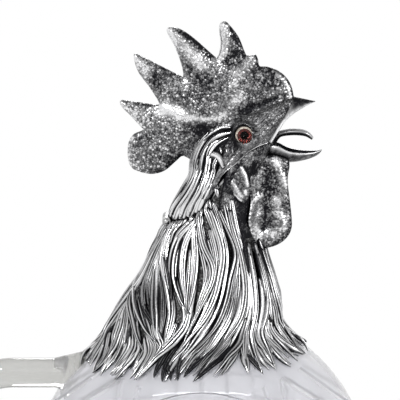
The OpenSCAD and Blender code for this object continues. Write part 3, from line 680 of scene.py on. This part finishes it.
# darker in a ring behind the eye: painted shade behind the brow
tone = tone * (1 - 0.6 * hump(off_eye - 5, 2.5) * (skin[..., 0] < eye_x - 1))
# the skin under the nape feathers is darkened: painted shade in the gaps between them
tone = np.where(edge > 0.4, 0.8, tone) * (1 - pit) * (1 - 0.9 * back)
tone = tone * (1 - seam_dark)
face_finish = oxidised_silver("face_silver", 0.5, 0.04)
outside = lifted(on_head, v, angle, lift)[0]
inside = lifted(on_head, v, angle, -head_wall - 2 * pit)[0]
piece("head", [sheet_part(outside, inside, tone, True)], face_finish, "lid", ["head_casting"])

# The nape is covered by long narrow feathers. They start over the eye, sweep round behind it and
# run down to the seam, and a few short broad ones lie over the ear.
head_spread = np.array([6.5, 0.3])
# the locks that lie on top, from root to tip, with their half width and ridges
nape_locks = [
    ([(14, 214.5), (8.7, 214.4), (4, 212), (-0.7, 207), (-3.7, 201), (-4.7, 192), (-8, 185.5),
      (-13.3, 176)], 1.0, 1),
    ([(13.4, 211.8), (8.7, 211.7), (4.5, 209.5), (0.5, 205), (-2, 199), (-3, 192), (-5.5, 186),
      (-12, 175)], 1.0, 1),
    ([(13, 209.8), (8.5, 209), (5, 207), (2, 203), (0.3, 197.5), (-1, 191), (-3, 185),
      (-8, 174.5)], 1.1, 1),
    ([(7.5, 206.3), (4.6, 204.6), (2.8, 200.9), (2.2, 196.2), (1.6, 191.4), (-1, 183.5),
      (-4.5, 176)], 1.2, 1),
    ([(7, 200), (5.6, 196), (4.8, 191), (3, 186), (0.8, 181.4)], 1.4, 2),
]
ear_locks = [
    ([(3.6, 200.2), (7.2, 198.6), (11.4, 196.2)], 2.5), ([(10, 204), (10.6, 202), (10.8, 200)], 0.8),
    ([(12.4, 203.8), (12.9, 201.8), (13.2, 199.8)], 0.8), ([(7.2, 203.4), (8, 202), (8.4, 200.6)], 0.8),
]
# each row: where its middle is, feathers a side, length and half width
nape_rows = [
    (0.6, 15, 14, 1.5), (1.4, 14, 18, 1.4), (2.3, 13, 20, 1.3), (3.2, 12, 20, 1.2),
    (4.1, 11, 18, 1.1), (4.8, 10, 14, 1.0),
]


def nape_bright(path, middle, more):
    """How bright the nape is along a path, brightest near the seam."""
    return middle + more * hump(path[:, 0], 1.5)


nape_lines = [seen_places(on_head, *head_rows, spots) for spots, _, _ in nape_locks]
nape_way = combed(nape_lines, head_spread)
nape = []
for row, count, long, half in nape_rows:
    for side in (-1, 1):
        for i in range(count):
            place = (row + rng.uniform(-0.3, 0.3), -179 + 68 * (i + rng.uniform(-0.3, 0.3)) / count)
            length = long * rng.uniform(0.7, 1.3)
            path = strand(nape_way, head_spread, place, length, 0.17, lambda angle: 6)
            if path is None:
                continue
            lift = (-1.1, rng.uniform(-0.5, 0.1))
            wide = half * rng.uniform(0.6, 1.4)
            ridges, blunt = rng.choice([1, 1, 2]), path[-1, 0] < 0.45
            rubbed = nape_bright(path, 1, 0.4)
            nape.append(pointed(path, -side, on_head, wide, lift, ridges, 0.6, blunt, rubbed))
for line, (_, half, ridges) in zip(nape_lines, nape_locks):
    for start, stop in ((0, 0.45), (0.3, 0.75), (0.55, 1)):
        path = spline(line, np.linspace(start, stop, 26) * (len(line) - 1))
        rubbed = nape_bright(path, 1.05, 0.35)
        nape += pair(path, on_head, half, (-0.7, 0.15), ridges, 0.7, stop == 1, rubbed)
for spots, half in ear_locks:
    path = smooth_line(seen_places(on_head, *head_rows, spots), 14)
    nape += pair(path, on_head, half, (-0.5, 0.0), 1, 0.7)
nape_finish = oxidised_silver("nape_silver", 0.6, 0.03, full=0.8)
piece("nape", nape, nape_finish, "lid", ["nape_feathers"])

# The comb is a solid casting with five points and a lobe behind, pebbled all over between smooth
# edges with painted highlights and shade. Its blade rolls out over the lobe. It is soldered along the
# crown.
comb_edge = [
    (38.7, 224.4), (37.7, 228.9), (35.5, 232.8), (32, 235.7), (27.4, 237.4), (24.3, 237.7),
    (23.6, 240.6), (22.3, 242.6), (19.1, 242.2), (18.1, 243.6), (15.6, 249.7), (12, 254.6),
    (9.5, 256.6), (7.4, 254.3), (7.9, 246.5), (6.6, 241.6), (5, 242.2), (-2.8, 249.1), (-7.9, 252.7),
    (-12.4, 254.2), (-14.5, 252.4), (-11.1, 245.8), (-8.5, 238.7), (-7.6, 233.5), (-9.2, 233.8),
    (-16.9, 237.7), (-22, 240.3), (-27.5, 242.9), (-28.2, 241.3), (-26.5, 235.4), (-21.4, 228.3),
    (-17.9, 222.4), (-18.8, 221.4), (-24, 222.1), (-33, 223.4), (-33.7, 221.1), (-29.8, 216.9),
    (-25.6, 212.3), (-24.6, 210.7), (-28.5, 208.8), (-30.7, 204.8), (-30.7, 198.3), (-28.8, 194.4),
    (-24, 192.5), (-19.5, 192.2), (-15, 193.8), (-10.5, 197.7), (-7.9, 199.7), (-4.7, 198.3),
]
comb_foot = [(0.5, 200), (3.5, 207), (7, 212), (14, 215), (24, 218.5), (34, 222)]
comb_step = 0.36
blade_roll = np.array([(-16, 220.6), (-9, 217.4), (-3.7, 216.3), (2.6, 215.8), (7, 216.6), (10.4, 219.4)])
face_furrow = [(16, 219), (24, 221.6), (31, 224.5)]
rim_half, thickest_half = 0.3, 4.9
# painted highlights, and painted shade where the amount is below 0: a line, the width to each side, and
# how much
comb_painted_light = [
    ([(-13.4, 252.3), (-8.5, 247.1), (-3.7, 242.7), (0.1, 238.3)], 2.5, 0.62),
    ([(9.1, 255), (9.8, 250.5), (9.6, 245.7), (8.2, 242.2)], 1.8, 0.6),
    ([(-26.9, 241.4), (-24.4, 238.3), (-22.9, 234.4)], 1.7, 0.5),
    ([(-32.4, 221.2), (-28.8, 218.3), (-24, 217.6)], 1.3, 0.35),
    ([(-16.7, 218.8), (-11.4, 219.6), (-8.5, 216.8), (-3.7, 216.2)], 2.2, 0.55),
    ([(-14.5, 219.7), (-10, 218.4)], 3, 0.5),
    ([(-1.8, 215.9), (2.6, 215.7), (6.9, 216.4), (9.8, 218.2)], 0.9, 0.6),
    ([(12.7, 222.7), (15.1, 225.7)], 2, 0.5), ([(15.1, 234.4), (19.4, 238.3), (21, 240.4)], 2.2, 0.4),
    ([(12.7, 230.5), (13.5, 231)], 1.2, 0.4), ([(-26, 214), (-20, 212)], 2, 0.15),
    ([(-11, 253.2), (-4.7, 250.1), (0.1, 245.2), (3.5, 242.7)], 1.7, -0.35),
    ([(11.6, 253.6), (15.6, 247.6), (17.3, 243.2)], 1.3, -0.15), ([(13.6, 243), (11.2, 239.8)], 2.3, -0.3),
    ([(-1.8, 231.5), (0.1, 225.2), (0.1, 219)], 2.6, -0.14), ([(-20, 234.5), (-18.5, 231)], 2.2, -0.15),
    ([(22, 233), (28, 231)], 3, -0.12), ([(-9, 211), (2, 211.5)], 2, -0.1),
]


def along_line(points, line):
    """Distance of points (x, z) from a line of points, and which way its nearest piece faces."""
    best = np.full(len(points), 1e9)
    facing = np.zeros(len(points))
    for a, b in zip(line[:-1], line[1:]):
        run = b - a
        t = np.clip(((points - a) @ run) / (run @ run), 0, 1)
        away = np.hypot(*(points - a - t[:, None] * run).T)
        closer = away < best
        best = np.where(closer, away, best)
        facing = np.where(closer, run[1] / np.hypot(*run), facing)
    return best, facing


def near_line(points, line, wide, power=2):
    """1 on a line of points (x, z), and fading over that width to each side."""
    return hump(along_line(points, np.array(line))[0], wide, power)


def rounded(edge, step):
    """Points a step apart on a smooth curve through the points of an edge."""
    fine = smooth_line(edge, 14 * len(edge))
    run = np.concatenate([[0], np.cumsum(np.hypot(*np.diff(fine, axis=0).T))])
    places = np.linspace(0, run[-1], int(run[-1] / step) + 1)
    return np.stack([np.interp(places, run, axis) for axis in fine.T], axis=1)


def cast_leaf(edge, foot, step, middle_y, shape):
    """A closed leaf spread over x and z, whose middle lies at middle_y(x). The function shape gives
    half its thickness and its relief from the points, how far in they are and how far the edge
    there faces forward, up to 1. The foot is the hidden part of the outline."""
    line = rounded(edge, step)
    outline = np.concatenate([line, np.array(foot, float)]) if foot else line[:-1]
    spans = [np.arange(low, high, step) for low, high in zip(outline.min(0), outline.max(0))]
    grid = np.stack(np.meshgrid(*spans, indexing="ij"), -1).reshape(-1, 2)
    grid += step * 0.25 * np.sin(grid[:, ::-1] * 9.7)
    inside = np.zeros(len(grid), bool)
    for a, b in zip(outline, np.roll(outline, -1, axis=0)):
        crosses = (a[1] > grid[:, 1]) != (b[1] > grid[:, 1])
        with np.errstate(divide="ignore", invalid="ignore"):
            cross_x = (b[0] - a[0]) * (grid[:, 1] - a[1]) / (b[1] - a[1]) + a[0]
        inside ^= crosses & (grid[:, 0] < cross_x)
    closed = np.concatenate([outline, outline[:1]])
    grid = grid[inside & (along_line(grid, closed)[0] > 0.6 * step)]
    flat = np.concatenate([outline, grid])
    count = len(outline)
    flat, _, faces, _, _, _ = geometry.delaunay_2d_cdt(
        [Vector(p) for p in flat.tolist()], [], [list(range(count))], 1, 1e-6)
    flat = np.array([tuple(p) for p in flat])
    depth, facing = along_line(flat, line)
    points = np.stack([flat[:, 0], middle_y(flat[:, 0]), flat[:, 1]], axis=1)
    out = np.array([0, 1, 0])
    parts, tones = [], []
    for side in (-1, 1):
        half, tone = shape(points + side * out, depth, facing)
        parts.append(points + side * half[:, None] * out)
        tones.append(tone)
    both = closed_sheet([list(face) for face in faces], len(flat))
    return np.concatenate(parts), both, np.concatenate(tones)


def comb_shape(points, depth, facing):
    grain, chance = pebbles(points, 1.0)
    place = points[:, [0, 2]]
    roll = near_line(place, blade_roll, 1.6)
    line_z = np.interp(place[:, 0], blade_roll[:, 0], blade_roll[:, 1])
    lobe = (place[:, 0] < 10) & (place[:, 1] < line_z) & (place[:, 0] > -34)
    rim = hump(depth, 1.3)
    furrow = near_line(place, face_furrow, 1.5)
    half = rim_half + 1.2 * np.sqrt(depth) * np.where(lobe, 0.8, 1) + 0.9 * roll - 0.9 * furrow
    half = np.clip(half, rim_half, thickest_half) + 0.3 * grain * (1 - 0.8 * rim)
    speck = np.abs(np.sin(points @ np.array([[51.3], [37.7], [43.1]]))[:, 0])
    tone = grain ** 1.5 * (0.04 + 0.62 * chance + 0.2 * drift(points, 9)) + 0.13 * speck
    for line, wide, much in comb_painted_light:
        tone = tone + much * near_line(place, line, wide) * (0.55 + 0.45 * grain * chance ** 0.5)
    # painted light: the edges are lighter on one side and darker on the other, by which way they face
    tone = tone + 0.3 * rim * np.clip(-facing, 0, 1) - 0.25 * rim * np.clip(facing, 0, 1)
    shade = lobe * np.exp(-(((place[:, 0] - 1.5) / 6) ** 2 + ((place[:, 1] - 208) / 8) ** 2))
    # painted highlights on the front rim and along the roll, and a painted shadow in the furrow under the
    # front of the comb
    front_highlight = hump(depth - 1.3, 0.7) * (place[:, 0] > 31) * (place[:, 1] < 236)
    tone = (tone + 0.12 * roll + 0.4 * front_highlight) * (1 - 0.6 * shade) * (1 - 0.75 * furrow)
    return half, np.clip(tone, 0, 1)


comb_finish = oxidised_silver("comb_silver", 0.4, 0.04)
comb = cast_leaf(comb_edge, comb_foot, comb_step, np.zeros_like, comb_shape)
piece("comb.cast", [comb], comb_finish, "lid", ["comb"])

# Two wattles hang under the bill, each cast with a rolled rim and a deep fold down its middle.
# They are soldered to the throat, and their rear edges curl round it.
wattle_edge = [
    (31, 201), (36, 199), (36.8, 196.3), (36.1, 190), (37.6, 176.8), (37.8, 170.4), (35.9, 166.2),
    (32.2, 163.2), (27.5, 161.7), (23.8, 161.9), (21.9, 164.1), (20.4, 169.6), (19.6, 174.3),
    (20.4, 181.9), (20, 189.1), (21, 196), (25, 200.5), (31, 201),
]
wattle_step = 0.4
wattle_y = 6
curl_x, curl = 26.5, 0.16
wattle_ridges = [
    [(30.7, 200.1), (31.4, 196.2), (33.2, 193.1), (35.3, 188.5)],
    [(31.1, 182.1), (32.1, 177.9), (34.6, 170.9)],
    [(24.5, 184.2), (20.9, 180.7), (20.2, 175.4), (21.2, 169.1), (23.8, 167.4), (30.1, 168)],
    [(24.5, 176.1), (23.3, 170.9)],
]
wattle_valley = [(28, 194.5), (27.3, 184.2), (26.8, 177.2), (25.7, 171.9)]
sides = ((-1, "right"), (1, "left"))


def leaf_pair(name, edge, step, middle_y, shape):
    """The same leaf on both sides of the neck, whose middle lies at side * middle_y(x)."""
    for side, where in sides:
        leaf = cast_leaf(edge, None, step, lambda x: side * middle_y(x), shape)
        piece(name + "." + where, [leaf], face_finish, "jug", [name + "_" + where])


def wattle_middle(x):
    return wattle_y + curl * np.maximum(0, curl_x - x) ** 2


def wattle_shape(points, depth, facing):
    place = points[:, [0, 2]]
    grain, chance = pebbles(points, 0.85)
    ridge = sum(near_line(place, line, 1.5) for line in wattle_ridges)
    valley = near_line(place, wattle_valley, 2.6)
    half = 0.3 + 1.0 * np.sqrt(np.minimum(depth, 4)) + 0.6 * ridge - 0.9 * valley
    # painted highlights on the ridges and painted shade in the fold; darker towards the outline
    tone = 0.05 + grain * (0.12 + 0.52 * chance) + 0.34 * ridge * (0.5 + chance) - 0.25 * valley
    tone = tone + 0.1 * drift(points, 6) - 0.15 * hump(depth, 1)
    return np.maximum(half, 0.25) + 0.16 * grain, np.clip(tone, 0.02, 1)


leaf_pair("wattle", wattle_edge, wattle_step, wattle_middle, wattle_shape)

# The throat is bare skin between the ear lobes and the wattles, cast in one with the neck and with
# the same fine pebbles as the face. The ear lobes lie over its upper corners.
lobe_y = 15.9
lobe_edge = [
    (12.8, 194.3), (16.1, 198.3), (18.2, 196.2), (19.6, 192.4), (20.3, 188), (19.6, 184.8),
    (17.2, 182.2), (14, 184.7), (11.2, 188), (9.8, 190.6), (12.8, 194.3),
]
throat_low, throat_top = 5.5, 7.985
throat_side = 84
throat_t = 1.2
# painted shade: dark lines under the ear lobe and between it and the wattle, as seen, with their widths
throat_shade_lines = [([(16.2, 181), (16.2, 160)], 3.2), ([(21.4, 196), (21.2, 182)], 1.6)]
v = np.linspace(throat_low, throat_top, 100)[:, None]
angle = np.linspace(-throat_side, throat_side, 190)[None]
v, angle = np.broadcast_arrays(v, angle)
skin = on_neck(v, angle)
grain, chance = pebbles(skin, 0.9)
hem = np.clip((throat_side - np.abs(angle)) / 6, 0, 1) * np.clip((v - throat_low) / 0.2, 0, 1)
valley = hump(np.abs(angle) - 40, 9)
lift = 0.2 + (0.4 + 0.25 * grain - 0.5 * valley) * hem - 0.6 * (1 - hem)
# the valley is darkened as painted shade
tone = 0.05 + grain * (0.1 + 0.5 * chance) - 0.16 * valley + 0.1 * drift(skin, 5)
shown_z = skin[..., 2] - camera_drop * np.abs(skin[..., 1])
shown = np.stack([skin[..., 0], shown_z], axis=-1).reshape(-1, 2)
for line, wide in throat_shade_lines:
    tone = tone * (1 - 0.72 * near_line(shown, line, wide, 4)).reshape(tone.shape)
# a painted shadow round the ear lobe
lobe_shadow = near_line(skin.reshape(-1, 3)[:, [0, 2]], lobe_edge, 1.4).reshape(tone.shape)
tone = tone * (1 - 0.7 * lobe_shadow)
outside = lifted(on_neck, v, angle, lift)[0]
inside = lifted(on_neck, v, angle, lift * 0 - throat_t)[0]
# the skin fades to black where it tucks under the feathers: painted shade
piece("throat", [sheet_part(outside, inside, tone * hem)], face_finish, "jug", [])

# The ear lobes are small folded leaves of cast silver, soldered to the sides of the neck just
# under the seam. Their ridges carry painted highlights, stronger towards the front.
lobe_step = 0.35
lobe_ridges = [
    [(16.6, 197.4), (18.4, 194), (19.2, 189.8)], [(10.4, 190.6), (12.5, 187), (16, 183.4)],
    [(12.8, 191.4), (15, 187.2), (16.6, 185.2)], [(18, 187.4), (18.4, 186.2)],
]


def lobe_shape(points, depth, facing):
    place = points[:, [0, 2]]
    grain, chance = pebbles(points, 0.7)
    ridge = sum(near_line(place, line, 0.75) for line in lobe_ridges)
    half = 0.3 + 0.9 * np.sqrt(np.minimum(depth, 3)) + 0.5 * ridge
    # painted highlights on the ridges, stronger towards the front
    tone = 0.04 + grain * (0.08 + 0.36 * chance) + 0.62 * ridge * np.clip((place[:, 0] - 6) / 10, 0.3, 1)
    return half + 0.1 * grain, np.clip(tone, 0, 1)


leaf_pair("ear_lobe", lobe_edge, lobe_step, lambda x: lobe_y + 0 * x, lobe_shape)

# The bill is cast smooth. Its upper half belongs to the lid and is hollow underneath. The lower
# half is an open trough on the neck, which the wine runs over, with a curled tongue in it.
upper_wall, lower_wall = 0.9, 0.8
# stations from root to tip: x and z of the rim, x and z of the crest or keel, and half width
upper_stations = [
    (31.0, 209.5, 33.0, 224.0, 5.3), (34.7, 214.6, 37.0, 225.0, 5.1), (38.4, 218.0, 40.0, 224.5, 4.0),
    (42.0, 220.1, 42.9, 223.9, 2.6), (45.2, 221.7, 45.6, 223.3, 1.2), (47.5, 222.6, 47.7, 222.9, 0.3),
]
lower_stations = [
    (27.6, 204.9, 25.4, 197.2, 5.4), (31.8, 204.7, 30.2, 196.9, 6.4), (36.5, 202.4, 35.8, 197.0, 6.4),
    (41.6, 201.5, 41.2, 197.6, 5.2), (46.0, 201.5, 45.8, 198.8, 3.5), (49.0, 201.9, 48.9, 200.3, 1.7),
    (50.4, 202.5, 50.3, 201.8, 0.35),
]
nostril_x, nostril_z, nostril_r = 36.2, 221, 0.9
bill_along, bill_across = 44, 29


def bill_half(stations, wall, tone_of):
    """A thin half of the bill: its outer skin, its inner skin and its tone."""
    rows = smooth_line(stations, bill_along)
    turn = np.linspace(0, math.pi, bill_across)
    rim, crest, width = rows[:, None, 0:2], rows[:, None, 2:4], rows[:, None, 4]
    deep = np.hypot(*(crest - rim)[:, 0].T)[:, None]

    def skin(inset):
        share = np.maximum(1 - inset / deep, 0.4)
        flat = rim + (crest - rim) * (share * np.sin(turn))[..., None]
        y = np.maximum(width - inset, 0.4 * width) * np.cos(turn)
        return np.stack([flat[..., 0], y, flat[..., 1]], axis=-1)

    outside = skin(0)
    return outside, skin(wall), tone_of(outside, np.sin(turn) + 0 * width)


def upper_tone(points, high):
    off_nostril = np.hypot(points[..., 0] - nostril_x, points[..., 2] - nostril_z)
    stipple = pebbles(points, 0.8)[0] * np.clip((38.5 - points[..., 0]) / 4, 0, 1)
    nostril = hump(off_nostril, nostril_r)
    return np.clip(0.08 + 0.5 * hump(high, 0.3) + 0.4 * stipple + 0.5 * nostril, 0, 1)


def lower_tone(points, high):
    grain, chance = pebbles(points, 1.6)
    rim = hump(high, 0.17)
    return np.clip(0.7 * rim + 0.1 + (0.1 + 0.4 * grain * chance) * high * (1 - rim), 0, 1)


bill_finish = oxidised_silver("bill_silver", 1.5, 0.02, rough=0.3)
outside, inside, tone = bill_half(upper_stations, upper_wall, upper_tone)
upper = [sheet_part(outside, inside, tone)]
v = np.linspace(0.05, 3.9, 26)
for side in (-1, 1):
    lip = feather(on_head, v, side * (22 - 2.2 * v), 1.4 - 0.12 * v, 0.2 + 0 * v, 1, 0.8)
    upper.append((lip[0], lip[1], np.minimum(1, 0.35 + lip[2])))
piece("upper_bill.cast", upper, bill_finish, "lid", ["upper_bill"])
outside, inside, tone = bill_half(lower_stations, lower_wall, lower_tone)
piece("lower_bill.cast", [sheet_part(outside, inside, tone)], bill_finish, "jug", ["lower_bill"])

# the tongue's middle line: x, z and half width
tongue_path = [
    (28.5, 202.5, 1.6), (30.0, 206.0, 1.9), (33.2, 208.3, 2.3), (38.2, 209.0, 2.7), (43.3, 208.6, 2.3),
    (46.5, 207.0, 0.6),
]
tongue_t = 0.55
tongue_along, tongue_across = 50, 17
root_points = 19
root_thicker = 2.6
rows = smooth_line(tongue_path, tongue_along)
across = np.linspace(-1, 1, tongue_across)
way = np.gradient(rows[:, :2], axis=0)
way /= np.hypot(*way.T)[:, None]
curl = (across ** 2 * 0.5)[None] * rows[:, 2:3]


def tongue_skin(out):
    x = rows[:, 0:1] - way[:, 1:2] * (curl + out)
    z = rows[:, 1:2] + way[:, 0:1] * (curl + out)
    return np.stack([x, rows[:, 2:3] * across, z], axis=-1)


# painted highlights along the curled edges, and painted shade at the root inside the mouth
tone = np.broadcast_to(0.2 + 0.75 * across ** 4, (tongue_along, tongue_across))
root = np.clip(1 - np.arange(tongue_along) / root_points, 0, 1)[:, None]
under = tongue_skin(-tongue_t - root_thicker * root)
tongue = sheet_part(tongue_skin(tongue_t), under, tone * (1 - 0.9 * root ** 0.5))
piece("tongue.cast", [tongue], bill_finish, "jug", ["tongue"])

# The hinge is a plain barrel at the back of the seam, two knuckles on the neck and one on the lid,
# on a pin of drawn wire with beaded ends.
hinge_silver = sheet_silver("hinge_silver", 0.12, 0.6, 0.3)
for node in ("neck_knuckles", "lid_knuckle", "hinge_pin"):
    dress(node, hinge_silver)

# The eyes are taxidermy glass in cups: a clear dome over an iris and a pupil, which are painted on
# its back.
eye_r = 3.08
pupil_r = 1.6
paint_y = 11
paint_t = 0.2
pupil_proud = 0.05
eye_rim, _, shader = material("eye_rim", (0.62, 0.55, 0.47, 1), 0.35, 0.6)
mottle(shader, 0.7, (0.35, (0.28, 0.24, 0.2)), (0.6, (0.78, 0.71, 0.62)))
iris, _, shader = material("iris", (0.6, 0.1, 0.07, 1), 0.4)
mottle(shader, 0.6, (0.35, (0.11, 0.012, 0.009)), (0.65, (0.23, 0.03, 0.022)))
pupil, tree, shader = material("pupil", (0.006, 0.005, 0.005, 1), 0.5)
fill(shader, {"Specular IOR Level": 0.1})
add_bump(shader, noise_node(tree, 0.8), 0.02)
dome = blown_glass("eye_dome", (1, 0.99, 0.98, 1), 3, 1.0, 1.1)


def paint_disc(inner, outer, y):
    """A flat ring, or a disc where inner is 0, in the plane of the eye."""
    turn = np.linspace(0, math.tau, 49)[:-1]
    r = np.linspace(max(inner, 0.02), outer, 5)[:, None]
    flat = [r * np.cos(turn) + eye_x, y + 0 * r * turn, r * np.sin(turn) + eye_z]
    top = np.stack(flat, axis=-1)
    under = top + np.array([0, -math.copysign(paint_t, y), 0])
    return sheet_part(top, under, np.ones(top.shape[:2]), True)


for side, where in sides:
    dress("eye_setting_" + where, eye_rim)
    dress("eye_glass_" + where, dome)
    ring = paint_disc(pupil_r, eye_r, side * paint_y)
    piece("iris." + where, [ring], iris, "lid", ["iris_" + where])
    disc = paint_disc(0, pupil_r, side * (paint_y + pupil_proud))
    piece("pupil." + where, [disc], pupil, "lid", ["pupil_" + where])

# The photograph's light is a white tent: the jug stands on a pale floor in soft light from above
# and both sides, and white shows all round it.
floor_r = 0.43
floor_sides = 96
turns = [math.tau * k / floor_sides for k in range(floor_sides)]
floor_rim = [(floor_r * math.cos(a), floor_r * math.sin(a), 0) for a in turns]
floor_mesh = bpy.data.meshes.new("floor")
floor_mesh.from_pydata(floor_rim, [], [list(range(floor_sides))])
floor_mesh.materials.append(material("pale_floor", (0.97, 0.97, 0.97, 1), 0.8)[0])
floor = placed("floor", floor_mesh)

# what metal and glass see of the tent, from below to above, and the level for other light
tent_stops = ((0.0, 0.9), (0.3, 1.0), (0.55, 0.95), (0.8, 0.35), (1.0, 0.7))
plain_level = 0.45
world = bpy.data.worlds.new("white_tent")
bpy.context.scene.world = world
world.use_nodes = True
tree = world.node_tree
way = new_node(tree, "TexCoord")["Generated"]
reflected = ramp_node(tree, new_node(tree, "SeparateXYZ", {0: way})["Z"], *tent_stops)
rays = new_node(tree, "LightPath")
white = {"Factor": rays["Is Camera Ray"], 6: reflected, 7: (1, 1, 1, 1)}
tent = new_node(tree, "Mix", white, data_type="RGBA")[2]
seen = math_node(tree, "MAXIMUM", rays["Is Glossy Ray"], rays["Is Transmission Ray"])
seen = math_node(tree, "MAXIMUM", seen, rays["Is Camera Ray"])
levels = {"Value": seen, "To Min": plain_level, "To Max": 1.0}
level = new_node(tree, "MapRange", levels)["Result"]
fill(tree.nodes["Background"], {"Color": tent, "Strength": level})


def soft_light(name, place, size, power):
    lamp = bpy.data.lights.new(name, "AREA")
    lamp.shape = "DISK"
    lamp.size = size
    lamp.energy = power
    made = placed(name, lamp)
    made.location = place
    made.rotation_euler = (lamps_aim - made.location).to_track_quat("-Z", "Y").to_euler()


lamps_aim = Vector((0, 0, 0.15))
soft_light("key", (-0.45, -0.75, 0.95), 0.35, 9)
soft_light("fill", (0.85, -0.5, 0.45), 0.5, 4)
soft_light("back", (0.1, 0.9, 0.7), 0.5, 4)

picture_middle = Vector((-0.6, 0, 181)) * mm
picture_width = 168 * mm
camera_away = 1.6
sensor = 36
camera_data = bpy.data.cameras.new("camera")
camera_data.sensor_width = sensor
camera_data.lens = sensor * camera_away / picture_width
camera = placed("camera", camera_data)
towards_camera = Vector((0, -math.cos(camera_tilt), math.sin(camera_tilt)))
camera.location = picture_middle + camera_away * towards_camera
camera.rotation_euler = (math.pi / 2 - camera_tilt, 0, 0)
bpy.context.scene.camera = camera
bpy.context.scene.view_settings.view_transform = "Standard"
